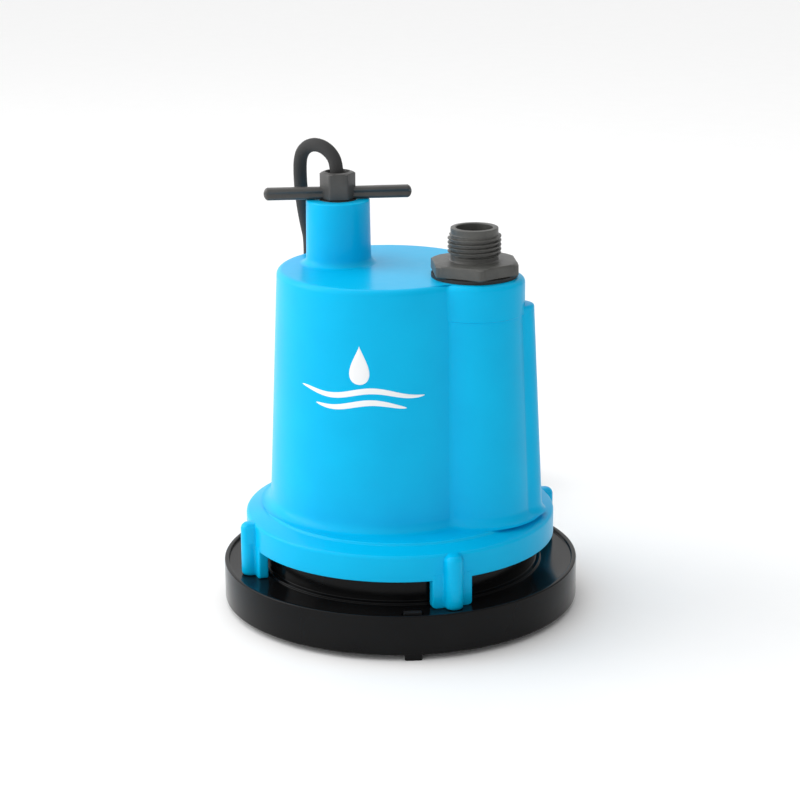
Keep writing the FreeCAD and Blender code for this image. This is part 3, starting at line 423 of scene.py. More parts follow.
BRASS = Finish("stamped_brass", (0.80, 0.58, 0.27), (0.68, 0.47, 0.20), 0.28, 0.08, metallic=1.0,
               grain=Grain.LAYERS, grain_scale=900.0, relief=0.05)
STEEL = Finish("stainless_steel", (0.62, 0.62, 0.61), (0.52, 0.52, 0.52), 0.26, 0.08, metallic=1.0,
               grain=Grain.TURNED, grain_scale=1400.0, relief=0.06)
CAST_ALLOY = Finish("cast_alloy", (0.72, 0.73, 0.74), (0.60, 0.61, 0.62), 0.42, 0.12, metallic=1.0,
                    grain_scale=900.0, relief=0.35, depth=0.0001)
BEARING = Finish("ground_bearing_steel", (0.76, 0.76, 0.77), (0.68, 0.68, 0.70), 0.12, 0.05,
                 metallic=1.0, grain=Grain.TURNED, grain_scale=2200.0, relief=0.04)
LAMINATE = Finish("stacked_sheet_steel", (0.40, 0.41, 0.43), (0.28, 0.29, 0.31), 0.40, 0.10,
                  metallic=1.0, grain=Grain.LAYERS, grain_scale=320.0, relief=0.7, depth=0.0002)
COPPER = Finish("varnished_copper", (0.72, 0.30, 0.13), (0.50, 0.17, 0.07), 0.30, 0.08,
                metallic=1.0, coat=0.6, grain=Grain.WOUND, grain_scale=420.0, relief=0.8, depth=0.0004)
CAGE = Finish("die_cast_cage", (0.70, 0.71, 0.72), (0.58, 0.59, 0.60), 0.36, 0.1, metallic=1.0,
              grain_scale=1100.0, relief=0.25)
SHAFT = Finish("ground_shaft_steel", (0.60, 0.61, 0.62), (0.50, 0.51, 0.52), 0.20, 0.05, metallic=1.0,
               grain=Grain.LAYERS, grain_scale=2600.0, relief=0.08)
IMPELLER = Finish("glass_filled_moulding", (0.055, 0.055, 0.058), (0.035, 0.035, 0.037), 0.5,
                  grain_scale=1200.0, relief=0.4)
CERAMIC = Finish("lapped_ceramic", (0.86, 0.84, 0.78), (0.80, 0.77, 0.70), 0.15, 0.04,
                 grain_scale=3000.0, relief=0.05)
CAPACITOR = Finish("capacitor_case", (0.085, 0.085, 0.09), (0.065, 0.065, 0.07), 0.36,
                   grain_scale=1900.0, relief=0.15)
SLEEVE = Finish("wire_sleeve", (0.55, 0.55, 0.51), (0.45, 0.45, 0.41), 0.45,
                grain_scale=1700.0, relief=0.15)
INK = Finish("white_emblem_ink", (0.90, 0.91, 0.92), (0.86, 0.87, 0.88), 0.38, 0.05,
             grain=Grain.PEEL, grain_scale=500.0, relief=0.06)

SLOT_FINISH = {
    "housing_paint": COATING, "base_moulding": BASE, "strainer_moulding": STRAINER,
    "nut_moulding": NUT, "adapter_moulding": ADAPTER, "seal_rubber": RUBBER,
    "cord_jacket": JACKET, "plug_moulding": PLUG, "plug_brass": BRASS, "screw_steel": STEEL,
    "plate_alloy": CAST_ALLOY, "bearing_steel": BEARING, "core_steel": LAMINATE,
    "winding_copper": COPPER, "cage_alloy": CAGE, "shaft_steel": SHAFT,
    "impeller_moulding": IMPELLER, "seal_ceramic": CERAMIC, "capacitor_case": CAPACITOR,
    "lead_sleeve": SLEEVE,
}


def dress_nodes() -> None:
    """Give every carried-over node the finish of its material slot."""
    for part in frame["record"]["subparts"]:
        node = frame["nodes"][part["node"]]
        for holder in node.material_slots:
            holder.material = SLOT_FINISH[part["material_slot"]].material()
    LOG.info("%d nodes dressed", len(frame["nodes"]))


# ---------------------------------------------------------------- housing casting

@dataclass
class HousingCasting:
    """Drum, discharge duct, side pad, flange and lugs in one skin, with the cord tower on top."""

    drum_x: float = -0.0086
    drum_radii: tuple[float, float] = (0.0602, 0.0545)
    duct_x: float = 0.0427
    duct_radii: tuple[float, float] = (0.0300, 0.0251)
    boss_radius: float = 0.0256
    boss_level: float = 0.1590
    pad_spot: tuple[float, float] = (0.06239, 0.01047)
    pad_radii: tuple[float, float] = (0.0130, 0.0080)
    pad_top: float = 0.1630
    flange_level: float = 0.0366
    flange_top: float = 0.0536
    flange_radius: float = 0.0806
    drum_top: float = 0.1775
    drum_round: float = 0.0030
    foot_flare: float = 0.0050
    rib_circle: float = 0.0820
    rib_radius: float = 0.0046
    rib_top: float = 0.0502
    rib_round: float = 0.0034
    lug_foot: float = 0.0221
    bore: float = 0.0150
    socket: float = 0.0160
    socket_level: float = 0.1596
    seat_radius: float = 0.07145
    seat_top: float = 0.0406
    tower_x: float = -0.0341
    tower_radius: float = 0.0164
    tower_top: float = 0.2106
    gland_bore: float = 0.00945
    gland_seat: float = 0.1840
    lug_angles: tuple[float, ...] = (45.0, 135.0, 225.0, 315.0)
    hub: tuple[float, float] = (0.020, 0.0)
    columns: int = 720

    def __post_init__(self) -> None:
        """Keep the columns' directions from the hub."""
        self.turn = np.arange(self.columns) * TAU / self.columns

    def reach(self, circle: Circle) -> Array:
        """Distance from the hub to a circle's far side in each direction.

        Formula: d . u + sqrt(R * R - |d|**2 + (d . u)**2), where d runs from hub to centre.

        Args:
            circle: centre x, centre y and radius.

        Returns:
            The distance, or 0 where the direction misses the circle.
        """
        dx, dy = circle[0] - self.hub[0], circle[1] - self.hub[1]
        along = dx * np.cos(self.turn) + dy * np.sin(self.turn)
        inside = circle[2] ** 2 - dx * dx - dy * dy + along * along
        return np.where(inside > 0, along + np.sqrt(np.maximum(inside, 0)), 0.0)

    def ring(self, circles: Sequence[Circle], level: float, blend: float = 0.0016) -> Array:
        """One ring round the union of some circles.

        Args:
            circles: the circles at this level.
            level: the ring's height.
            blend: the fillet in the valleys between circles.

        Returns:
            Points of shape (columns, 3).
        """
        far = np.zeros(self.columns)
        for circle in circles:
            if circle[2] > 0:
                far = smooth_union(far, self.reach(circle), blend)
        return self.polar(self.hub, far, level)

    def polar(self, centre: tuple[float, float], far: Array | float, level: float) -> Array:
        """Points at a distance from a centre in each column's direction, at one level."""
        far = np.broadcast_to(far, (self.columns,))
        return np.column_stack((centre[0] + far * np.cos(self.turn), centre[1] + far * np.sin(self.turn),
                                np.full(self.columns, level)))

    def walls(self, level: float, grow: float = 0.0) -> list[Circle]:
        """The circles of drum, duct or boss, and side pad at a level.

        Args:
            level: the height.
            grow: what the flare or the crown's rounding adds to each radius.

        Returns:
            The circles there.
        """
        span = (self.flange_top, self.drum_top)
        drum = np.interp(level, span, self.drum_radii) + grow
        duct = np.interp(level, (self.flange_top, self.boss_level), self.duct_radii) + grow
        if level > self.boss_level:
            duct = self.boss_radius + grow
        pad = np.interp(level, (self.flange_top, self.pad_top), self.pad_radii) + grow * 0.5
        over = level - (self.pad_top - 0.0015)
        if over > 0:
            pad -= 0.0015 - math.sqrt(max(0.0015 ** 2 - over ** 2, 0.0))
        circles = [(self.drum_x, 0.0, drum), (self.duct_x, 0.0, duct)]
        if level < self.pad_top:
            circles.append((*self.pad_spot, pad))
        return circles

    def rib(self, level: float) -> list[Circle]:
        """The lug ribs' circles at a level, drawn in over their domed tops."""
        if level > self.rib_top:
            return []
        over = max(level - (self.rib_top - self.rib_round), 0.0)
        radius = self.rib_radius - self.rib_round + math.sqrt(max(self.rib_round ** 2 - over ** 2, 0.0))
        return [(self.rib_circle * math.cos(math.radians(a)),
                 self.rib_circle * math.sin(math.radians(a)), radius)
                for a in self.lug_angles]

    def flange_rings(self) -> list[Array]:
        """The flange's wall, its shoulder and the raised plateau inside it, from below."""
        edge, top = self.flange_radius, self.flange_top
        path = rounded_path([
            (edge - 0.0020, self.flange_level, 0), (edge, self.flange_level, 0.0006),
            (edge, top - 0.0036, 0.0019),
            (edge - 0.0095, top - 0.0012, 0.0010), (edge - 0.0105, top, 0.0007),
            (edge - 0.0120, top, 0)], steps=6, closed=False)
        levels = np.linspace(self.rib_top - self.rib_round, self.rib_top, 6)
        wall = [(edge, level) for level in (0.0400, 0.0440, *levels[:1])]
        first = [tuple(p) for p in path if p[1] <= 0.0380]
        rest = [tuple(p) for p in path if p[1] > 0.0380]
        rings = [self.ring([(0.0, 0.0, r), *self.rib(z)], z, 0.0008) for r, z in first + wall]
        extra = [(float(np.interp(z, [p[1] for p in rest], [p[0] for p in rest])), z) for z in levels[1:]]
        for r, z in sorted(rest + extra, key=lambda p: (p[1], -p[0])):
            rings.append(self.ring([(0.0, 0.0, r), *self.rib(z)], z, 0.0008))
        return rings

    def wall_rings(self) -> list[Array]:
        """The flare, the drafted walls with their steps, and the rounded crown."""
        rings = []
        flare = self.foot_flare
        for turn in np.linspace(0, math.pi / 2, 9):
            level = self.flange_top + 0.00005 + flare * (1 - math.cos(turn))
            rings.append(self.ring(self.walls(level, flare * (1 - math.sin(turn))), level, 0.0022))
        step = self.boss_level
        pad = self.pad_top
        levels = [*np.linspace(0.0600, step - 0.0004, 14), step, step + 0.0003,
                  *np.linspace(pad - 0.0015, pad - 0.00001, 6), pad + 0.00002, 0.1665, 0.1705]
        rings += [self.ring(self.walls(level), level) for level in levels]
        start = self.drum_top - self.drum_round
        for turn in np.linspace(0, math.pi / 2, 9):
            level = start + self.drum_round * math.sin(turn)
            inset = self.drum_round * (1 - math.cos(turn))
            rings.append(self.ring(self.walls(min(level, self.drum_top), -inset), level))
        return rings

    def between(self, first: Array, last: Array, shares: Sequence[float]) -> list[Array]:
        """Rings on straight lines from one ring to another at the given shares of the way."""
        return [first + (last - first) * share for share in shares]

    def casting(self) -> Skin:
        """The closed skin: top plane, walls, flange, underside, plate seat and water bore.

        Returns:
            The skin, with the motor room, the tower and the lugs' lower ends.
        """
        walls = self.wall_rings()
        mouth = self.polar((self.duct_x, 0.0), self.socket + 0.0008, self.drum_top + 0.0001)
        bore = (self.duct_x, 0.0)
        rings = self.flange_rings() + walls
        rings += self.between(walls[-1], mouth, (0.02, 0.25, 0.5, 0.75, 0.95)) + [mouth]
        for radius, level in ((self.socket, self.drum_top - 0.0007), (self.socket, self.socket_level),
                              (self.bore, self.socket_level), (self.bore, 0.10),
                              (self.bore, self.seat_top)):
            rings.append(self.polar(bore, radius, level))
        seat = self.ring([(0.0, 0.0, self.seat_radius)], self.seat_top)
        rings += self.between(rings[-1], seat, (0.5, 1.0))
        rings.append(self.ring([(0.0, 0.0, self.seat_radius)], self.flange_level))
        skin = Skin().add(np.array(rings), loop=True)
        room = rounded_path([(0, 0.0420, 0), (0.0419, 0.0420, 0.003), (0.0419, 0.1735, 0.004),
                             (0, 0.1735, 0)], closed=False)
        skin.add(revolve(room[1:-1], 96, (-0.019, 0.0)), hollow=True)
        self.add_tower(skin)
        self.add_lugs(skin)
        return skin

    def add_tower(self, skin: Skin) -> None:
        """The cord tower: a flared tube, open above its gland seat.

        Args:
            skin: where it is added.
        """
        wide, top, foot = self.tower_radius, self.tower_top, self.drum_top
        turn = np.linspace(0, math.pi / 2, 9)
        flare = 0.0036
        sweep = np.column_stack((wide + 0.0004 + flare * (1 - np.sin(turn)),
                                 foot + flare * (1 - np.cos(turn))))
        outside = rounded_path([(wide + 0.0003, foot + flare + 0.004, 0), (wide, top, 0.0009),
                                (self.gland_bore, top, 0.0006), (self.gland_bore, self.gland_seat, 0)],
                               closed=False)
        profile = np.concatenate(([(wide + 0.0038, foot - 0.0012)], sweep, outside))
        skin.add(revolve(profile, 160, (self.tower_x, 0.0)))

    def add_lugs(self, skin: Skin) -> None:
        """The lugs below the flange: a round rib with a web each side, with softened feet.

        Args:
            skin: where they are added.
        """
        rib, root, inner, web = self.rib_radius, self.flange_radius, 0.0752, 0.0105
        outline = rounded_path([
            (inner, -web, 0.0008), (root - 0.0004, -web, 0.0010), (root - 0.0001, -rib, 0.0012),
            (self.rib_circle + rib, -rib, rib - 0.0001), (self.rib_circle + rib, rib, rib - 0.0001),
            (root - 0.0001, rib, 0.0012), (root - 0.0004, web, 0.0010), (inner, web, 0.0008)], steps=8)
        sections = [(self.lug_foot, 0.0012), (self.lug_foot + 0.0003, 0.0005),
                    (self.lug_foot + 0.0010, 0.0001),
                    (self.lug_foot + 0.0018, 0.0), (self.flange_level + 0.0030, 0.0)]
        for angle in self.lug_angles:
            skin.add(turned_about_z(extrude(outline, sections), angle))

    def emblem(self) -> Skin:
        """A water drop over two ripples, as a thin layer that follows the drum's front.

        Formula: each shape is a thin band whose centreline runs along the drum, given as
        (arc length, height) points, laid on the drafted drum and raised by the ink's thickness.

        Returns:
            The emblem's skin.
        """
        skin = Skin()
        turn = np.linspace(0, TAU, 73)[:-1]
        drop_half, drop_tall = 0.0074, 0.0098
        pinch = np.sin(turn / 2) ** 1.6
        drop = np.column_stack((drop_half * np.sin(turn) * pinch, drop_tall * (0.15 + np.cos(turn))))
        skin.add(self.inked(drop, 0.1385))
        for lift, size in ((-0.0130, 1.0), (-0.0190, 0.72)):
            skin.add(self.ripple(lift, size))
        return skin

    def ripple(self, lift: float, size: float) -> Array:
        """One ripple as a ribbon of ring sections along the drum.

        Formula: centreline height 1.6 mm * sin(3 pi s / 66 mm + 0.6) + lift, and half height
        1.5 mm * sqrt(1 - (s / reach)**2). Each section is an ellipse half sunk in the paint.

        Args:
            lift: height of the ripple under the emblem's origin.
            size: its share of the full length.

        Returns:
            The ribbon's rings.
        """
        reach = 0.033 * size
        along = (reach * np.sin(np.linspace(-0.499, 0.499, 81) * math.pi))[:, None]
        around = (np.arange(24) * TAU / 24)[None]
        half = 0.0015 * np.sqrt(1 - (along / (reach * 1.0005)) ** 2)
        height = 0.1385 + lift + 0.0016 * np.sin(along / 0.066 * 3 * math.pi + 0.6) + half * np.cos(around)
        out = 0.00012 * np.sin(around) + 0.00002
        radius = np.interp(height, (self.flange_top, self.drum_top), self.drum_radii)
        angle = math.radians(-76.0) + along / radius
        return np.stack((self.drum_x + (radius + out) * np.cos(angle), (radius + out) * np.sin(angle),
                         np.broadcast_to(height, angle.shape)), axis=2)

    def inked(self, outline: Array, level: float, thick: float = 0.00012) -> Array:
        """Lay a flat outline on the drum and give it the ink's thickness.

        Args:
            outline: (along, up) points of shape (count, 2).
            level: the height of the outline's origin.
            thick: how far the ink stands proud.

        Returns:
            Four rings of shape (4, count, 3): inside, wall, rounded edge and face.
        """
        facing = math.radians(-76.0)
        centre = outline.mean(axis=0)
        rings = []
        for scale, out in ((0.97, -0.0004), (1.0, -0.0004), (1.0, thick * 0.6), (0.97, thick),
                           (0.5, thick)):
            flat = centre + (outline - centre) * scale
            height = level + flat[:, 1]
            radius = np.interp(height, (self.flange_top, self.drum_top), self.drum_radii)
            angle = facing + flat[:, 0] / radius
            rings.append(np.column_stack((self.drum_x + (radius + out) * np.cos(angle),
                                          (radius + out) * np.sin(angle), height)))
        return np.array(rings)

    def make(self) -> None:
        """Build the casting and its emblem."""
        casting = self.casting().build("housing_casting", COATING, 28.0)
        fit(casting, "root", "housing_paint", "motor_housing")
        fit(self.emblem().build("drum_emblem", INK), "root", "housing_paint")


# ---------------------------------------------------------------- base moulding

@dataclass
class BaseMoulding:
    """Skirt, ledge, raised wall, feet and clip windows; the cut loses the volute and gussets."""

    radius: float = 0.0928
    skirt_inner: float = 0.0893
    foot_rise: float = 0.0030
    foot_width: float = 0.0087
    ledge_level: float = 0.0220
    ledge_under: float = 0.0190
    rim_top: float = 0.0235
    rim_width: float = 0.0025
    step_radius: float = 0.0740
    step_top: float = 0.0232
    wall_radius: float = 0.0715
    wall_inner: float = 0.0685
    wall_top: float = 0.0356
    eye_x: float = -0.0190
    eye_radius: float = 0.0160
    clip_circle: float = 0.0860
    clip_angles: tuple[float, ...] = (60.0, 180.0, 300.0)
    gusset_angles: tuple[float, ...] = (0.0, 111.0, 249.0)
    columns: int = 360

    def shell(self) -> Skin:
        """The turned shell with its round edges, and the eye through its floor.

        Returns:
            The skin, with the volute, the feet and the gussets.
        """
        rim_inner = self.radius - self.rim_width
        path = rounded_path([
            (self.skirt_inner, self.ledge_under, 0.0010), (self.skirt_inner, self.foot_rise, 0.0006),
            (self.radius, self.foot_rise, 0.0008), (self.radius, self.rim_top, 0.0007),
            (rim_inner, self.rim_top, 0.0006), (rim_inner, self.ledge_level, 0.0004),
            (self.step_radius, self.ledge_level, 0.0004), (self.step_radius, self.step_top, 0.0005),
            (self.wall_radius, self.step_top, 0.0005), (self.wall_radius, self.wall_top, 0.0005),
            (self.wall_inner, self.wall_top, 0.0004), (self.wall_inner, self.ledge_level, 0.0010)], steps=5)
        rings = list(revolve(path, self.columns))
        for level in (self.ledge_level, self.ledge_under):
            rings.append(revolve(np.array([(self.eye_radius, level)]), self.columns, (self.eye_x, 0.0))[0])
        skin = Skin().add(np.array(rings), loop=True)
        self.add_volute(skin)
        self.add_feet(skin)
        self.add_gussets(skin)
        return skin

    def add_volute(self, skin: Skin) -> None:
        """The spiral wall round the impeller, out to the duct.

        Formula: r(t) = 36 mm + 41 mm * share**2.5 about the impeller's axis, then an arc about
        the duct and a straight back to the cutwater. The wall is the loop and its offset.

        Args:
            skin: where it is added.
        """
        share = np.linspace(0, 1, 90)
        turn = np.radians(30 + 325 * share)
        spread = 0.036 + 0.041 * share ** 2.5
        spiral = np.column_stack((self.eye_x + spread * np.cos(turn), spread * np.sin(turn)))
        duct = np.array((0.0427, 0.0))
        reach = np.linalg.norm(spiral[-1] - duct)
        start = math.atan2(*(spiral[-1] - duct)[::-1])
        bend = np.linspace(start, math.pi / 2, 24)[1:]
        arc = duct + reach * np.column_stack((np.cos(bend), np.sin(bend)))
        back = arc[-1] + (spiral[0] - arc[-1]) * np.linspace(0, 1, 12)[1:-1, None]
        loop = np.concatenate((spiral, arc, back))
        tangent = np.roll(loop, -1, axis=0) - np.roll(loop, 1, axis=0)
        tangent /= np.linalg.norm(tangent, axis=1, keepdims=True)
        outer = loop + 0.003 * np.column_stack((tangent[:, 1], -tangent[:, 0]))
        low, high = self.ledge_level - 0.0005, self.wall_top + 0.0009
        rings = [np.column_stack((plan, np.full(len(plan), level)))
                 for plan, level in ((loop, low), (loop, high), (outer, high), (outer, low))]
        skin.add(np.array(rings), loop=True)

    def block(self, radial: tuple[float, float], wide: float, sections: Sequence[tuple[float, float]],
              angle: float, corner: float = 0.0006) -> Array:
        """A soft-edged block that points away from the axis.

        Args:
            radial: its inner and outer distance from the axis.
            wide: its width.
            sections: (level, inset) pairs from one end to the other.
            angle: its direction in degrees.
            corner: the radius of its upright edges.

        Returns:
            Its rings.
        """
        near, far = radial
        outline = rounded_path([(near, -wide / 2, corner), (far, -wide / 2, corner),
                                (far, wide / 2, corner), (near, wide / 2, corner)])
        return turned_about_z(extrude(outline, sections), angle)

    def add_feet(self, skin: Skin) -> None:
        """Three short feet under the skirt."""
        sections = [(0.0, 0.0006), (0.0002, 0.0002), (0.0006, 0.0), (self.foot_rise + 0.0008, 0.0)]
        for angle in self.clip_angles:
            skin.add(self.block((self.skirt_inner + 0.0002, self.radius - 0.0002), self.foot_width,
                                sections, angle))

    def add_gussets(self, skin: Skin) -> None:
        """Three fins on the step, each with a cap across its top."""
        low, top = self.ledge_level - 0.0003, self.ledge_level + 0.0065
        fin = [(low, 0.0), (top - 0.0006, 0.0), (top - 0.0002, 0.0002), (top, 0.0006)]
        cap = [(top - 0.0016, 0.0004), (top - 0.0012, 0.0), (top - 0.0003, 0.0001), (top, 0.0006)]
        for angle in self.gusset_angles:
            skin.add(self.block((self.wall_radius - 0.0010, self.step_radius + 0.0034), 0.0022, fin, angle))
            skin.add(self.block((self.wall_radius - 0.0010, self.step_radius + 0.0030), 0.0052, cap, angle))

    def windows(self) -> Skin:
        """The three clip windows through the ledge, as closed cutters."""
        skin = Skin()
        sections = [(self.ledge_under - 0.002, 0.0), (self.ledge_level + 0.0009, 0.0)]
        for angle in self.clip_angles:
            skin.add(self.block((self.clip_circle - 0.0020, self.clip_circle + 0.0036),
                                self.foot_width + 0.0024, sections, angle))
        return skin

    def make(self) -> None:
        """Build the moulding and cut its windows.

        The cut drops the volute and the gussets, so the finished piece has neither.
        """
        base = self.shell().build("base_shell", BASE)
        base = carve(base, self.windows().build("clip_windows", BASE))
        fit(base, "root", "base_moulding", "pump_base")


# ---------------------------------------------------------------- gland nut

@dataclass
class GlandNut:
    """Hollow hexagon head on a round shank, with a grooved hand bar through it."""

    x: float = -0.0341
    turn: float = 31.0
    corner: float = 0.0094
    bore: float = 0.0061
    shank: float = 0.0094
    seat: float = 0.2107
    top: float = 0.2250
    shank_end: float = 0.19712
    bar_half: float = 0.0380
    bar_wide: float = 0.0060
    bar_tall: float = 0.0064
    columns: int = 240

    def head(self) -> Array:
        """The head and shank as one closed tube.

        Formula: the hexagon's reach is apothem / cos(t mod 60 - 30 degrees), held under the
        corner chamfer, and every ring is that reach or a circle.

        Returns:
            Rings that join end to end.
        """
        turn = np.arange(self.columns) * TAU / self.columns
        apothem = self.corner * math.cos(math.pi / 6)
        hexagon = apothem / np.cos(turn % (math.pi / 3) - math.pi / 6)
        hexagon = np.minimum(hexagon, self.corner - 0.00025)
        rows = [(self.shank - 0.0004, self.shank_end), (self.shank, self.shank_end + 0.0004),
                (self.shank, self.seat - 0.00005)]
        rings = [(np.full(self.columns, reach), level) for reach, level in rows]
        for inset, level in ((0.0007, self.seat), (0.0, self.seat + 0.0007), (0.0, self.seat + 0.0070),
                             (0.0, self.top - 0.0010), (0.00015, self.top - 0.0005),
                             (0.0005, self.top - 0.00015),
                             (0.0010, self.top)):
            cone = self.corner - 0.0002 - 2.2 * max(0.0, level - self.top + 0.0008)
            rings.append((np.minimum(hexagon, cone) - inset, level))
        for reach, level in ((self.bore + 0.0006, self.top - 0.00005),
                             (self.bore + 0.0001, self.top - 0.0007),
                             (self.bore, self.top - 0.0014), (self.bore, self.shank_end + 0.0005),
                             (self.bore + 0.0004, self.shank_end)):
            rings.append((np.full(self.columns, reach), level))
        return np.array([np.column_stack((reach * np.cos(turn), reach * np.sin(turn),
                                          np.full(self.columns, level))) for reach, level in rings])

    def arm(self, side: float) -> Array:
        """One arm of the bar, from inside the head's wall to its rounded tip.

        Formula: the section is (a cos t * pinch, b sin t) with softened squareness, where pinch
        = 1 - 0.30 * exp(-(sin t / 0.30)**2) cuts the side grooves, and it shrinks over the tip
        as the square root of 1 - u * u.

        Args:
            side: 1 for one arm, -1 for the other.

        Returns:
            The arm's rings.
        """
        turn = np.arange(96) * TAU / 96
        wide, tall = self.bar_wide / 2, self.bar_tall / 2
        square = (np.abs(np.cos(turn)) ** 3.2 + np.abs(np.sin(turn)) ** 3.2) ** (-1 / 3.2)
        pinch = 1 - 0.30 * np.exp(-(np.sin(turn) / 0.30) ** 2)
        across, up = wide * square * np.cos(turn) * pinch, tall * square * np.sin(turn)
        tip = 0.0026
        stations = np.concatenate(([0.0071, 0.009, 0.014, 0.020, 0.026, 0.031],
                                   self.bar_half - tip + tip * np.sin(np.linspace(0, math.pi / 2, 8))))
        over = np.clip((stations - (self.bar_half - tip)) / tip, 0, 0.985)
        size = np.sqrt(1 - over ** 2) * (1 - 0.03 * np.cos(stations / self.bar_half * math.pi))
        size = np.minimum(size, 1.0)[:, None]
        middle = self.seat + tall
        return np.stack((side * np.broadcast_to(stations[:, None], (len(stations), 96)),
                         across * size, middle + up * size), axis=2)

    def make(self) -> None:
        """Build the nut and put it on the handle's body."""
        skin = Skin()
        for rings, loop in ((self.head(), True), (self.arm(1.0), False), (self.arm(-1.0), False)):
            skin.add(turned_about_z(rings, self.turn) + np.array((self.x, 0.0, 0.0)), loop=loop)
        fit(skin.build("tee_handle_nut", NUT), "handle_nut", "nut_moulding", "gland_nut")


# ---------------------------------------------------------------- hose adapter

@dataclass
class HoseAdapter:
    """Chamfered hexagon over a threaded spigot, with a helical hose thread and a plain lip."""

    x: float = 0.0427
    turn: float = 1.4
    bore: float = 0.0093
    root: float = 0.01205
    crest: float = 0.0135
    pitch: float = 0.002209
    spigot: float = 0.01595
    spigot_end: float = 0.1611
    hex_level: float = 0.1794
    hex_top: float = 0.1858
    hex_corner: float = 0.0241
    top: float = 0.2025
    columns: int = 240

    def thread(self, turn: Array, level: Array) -> Array:
        """The thread's outer radius.

        Formula: root + depth * ridge * fade, where ridge is a clipped triangle wave of
        (level - first) / pitch - turn / 360 and fade runs the thread out at both ends.

        Args:
            turn: directions of shape (1, columns).
            level: heights of shape (rows, 1).

        Returns:
            Radii of shape (rows, columns).
        """
        phase = (level - self.hex_top) / self.pitch - turn / TAU
        wave = np.abs(phase % 1.0 - 0.5) * 2
        ridge = np.clip(1.55 - 2.6 * wave, 0.0, 1.0)
        ridge = ridge * ridge * (3 - 2 * ridge)
        first, last = self.hex_top + 0.0026, self.top - 0.0030
        fade = smooth_step(first, first + 0.0012, level) * (1 - smooth_step(last - 0.0012, last, level))
        return self.root + (self.crest - self.root) * ridge * fade

    def rings(self) -> Array:
        """The closed tube from the spigot's end, up the outside, and down the bore.

        Returns:
            Rings that join end to end.
        """
        turn = np.arange(self.columns) * TAU / self.columns
        apothem = self.hex_corner * math.cos(math.pi / 6)
        hexagon = np.minimum(apothem / np.cos(turn % (math.pi / 3) - math.pi / 6), self.hex_corner - 0.0002)
        flat = np.ones(self.columns)
        rows = [((self.spigot - 0.0010) * flat, self.spigot_end),
                (self.spigot * flat, self.spigot_end + 0.0010)]
        lows = np.linspace(self.spigot_end + 0.0012, self.hex_level - 0.0022, 70)
        phase = np.abs((lows[:, None] / 0.0018 - turn[None] / TAU) % 1.0 - 0.5) * 2
        rows += [(self.spigot - 0.0011 * wave, level) for wave, level in zip(phase, lows)]
        rows += [(self.spigot * flat, self.hex_level - 0.0018),
                 (self.spigot * flat, self.hex_level - 0.00002)]
        for inset, level in ((0.0006, self.hex_level), (0.0, self.hex_level + 0.0006),
                             (0.0, self.hex_top - 0.0011),
                             (0.0001, self.hex_top - 0.0005), (0.0004, self.hex_top - 0.00012),
                             (0.0009, self.hex_top)):
            cone = self.hex_corner - 0.0003 - 1.7 * max(0.0, level - self.hex_top + 0.0012)
            rows.append((np.minimum(hexagon, cone) - inset, level))
        rows += [((self.root + 0.0007) * flat, self.hex_top + 0.00002),
                 ((self.root + 0.0001) * flat, self.hex_top + 0.0006)]
        levels = np.linspace(self.hex_top + 0.0012, self.top - 0.0006, 120)
        rows += list(zip(self.thread(turn[None], levels[:, None]), levels))
        rows += [((self.root - 0.0001) * flat, self.top - 0.0002), ((self.root - 0.0005) * flat, self.top)]
        rows += [((self.bore + 0.0004) * flat, self.top), (self.bore * flat, self.top - 0.0004),
                 (self.bore * flat, self.spigot_end + 0.0004),
                 ((self.bore + 0.0004) * flat, self.spigot_end)]
        return np.array([np.column_stack((reach * np.cos(turn), reach * np.sin(turn), level * flat))
                         for reach, level in rows])

    def make(self) -> None:
        """Build the adapter and put it on its body."""
        rings = turned_about_z(self.rings(), self.turn) + np.array((self.x, 0.0, 0.0))
        piece = Skin().add(rings, loop=True).build("threaded_hose_adapter", ADAPTER)
        fit(piece, "adapter", "adapter_moulding", "hose_adapter")


# ---------------------------------------------------------------- cord, coil and plug

# The cord's route from the top of the gland, over its loop, down behind the drum and along
# the floor to the coil, in metres.
CORD_ROUTE = [
    (-0.0341, 0.0000, 0.2141), (-0.0341, 0.0000, 0.2284), (-0.0384, 0.0002, 0.2349),
    (-0.0456, 0.0012, 0.2379), (-0.0531, 0.0030, 0.2363), (-0.0583, 0.0048, 0.2306),
    (-0.0599, 0.0072, 0.2185), (-0.0610, 0.0112, 0.2055), (-0.0626, 0.0179, 0.1925),
    (-0.0655, 0.0275, 0.1810), (-0.0695, 0.0330, 0.1580), (-0.0740, 0.0385, 0.1300),
    (-0.0790, 0.0440, 0.1010), (-0.0855, 0.0510, 0.0710), (-0.0935, 0.0605, 0.0430),
    (-0.1025, 0.0730, 0.0200), (-0.1100, 0.0880, 0.0052), (-0.1145, 0.1050, 0.0035),
    (-0.1165, 0.1220, 0.0035)]
# The cord's last bend, from the coil's top turn to the plug's neck.
PLUG_BEND = [(-0.1165, 0.1500, 0.0262), (-0.1160, 0.1590, 0.0288), (-0.1128, 0.1690, 0.0322),
             (-0.1060, 0.1778, 0.0356), (-0.0970, 0.1834, 0.0376), (-0.0890, 0.1850, 0.0380)]


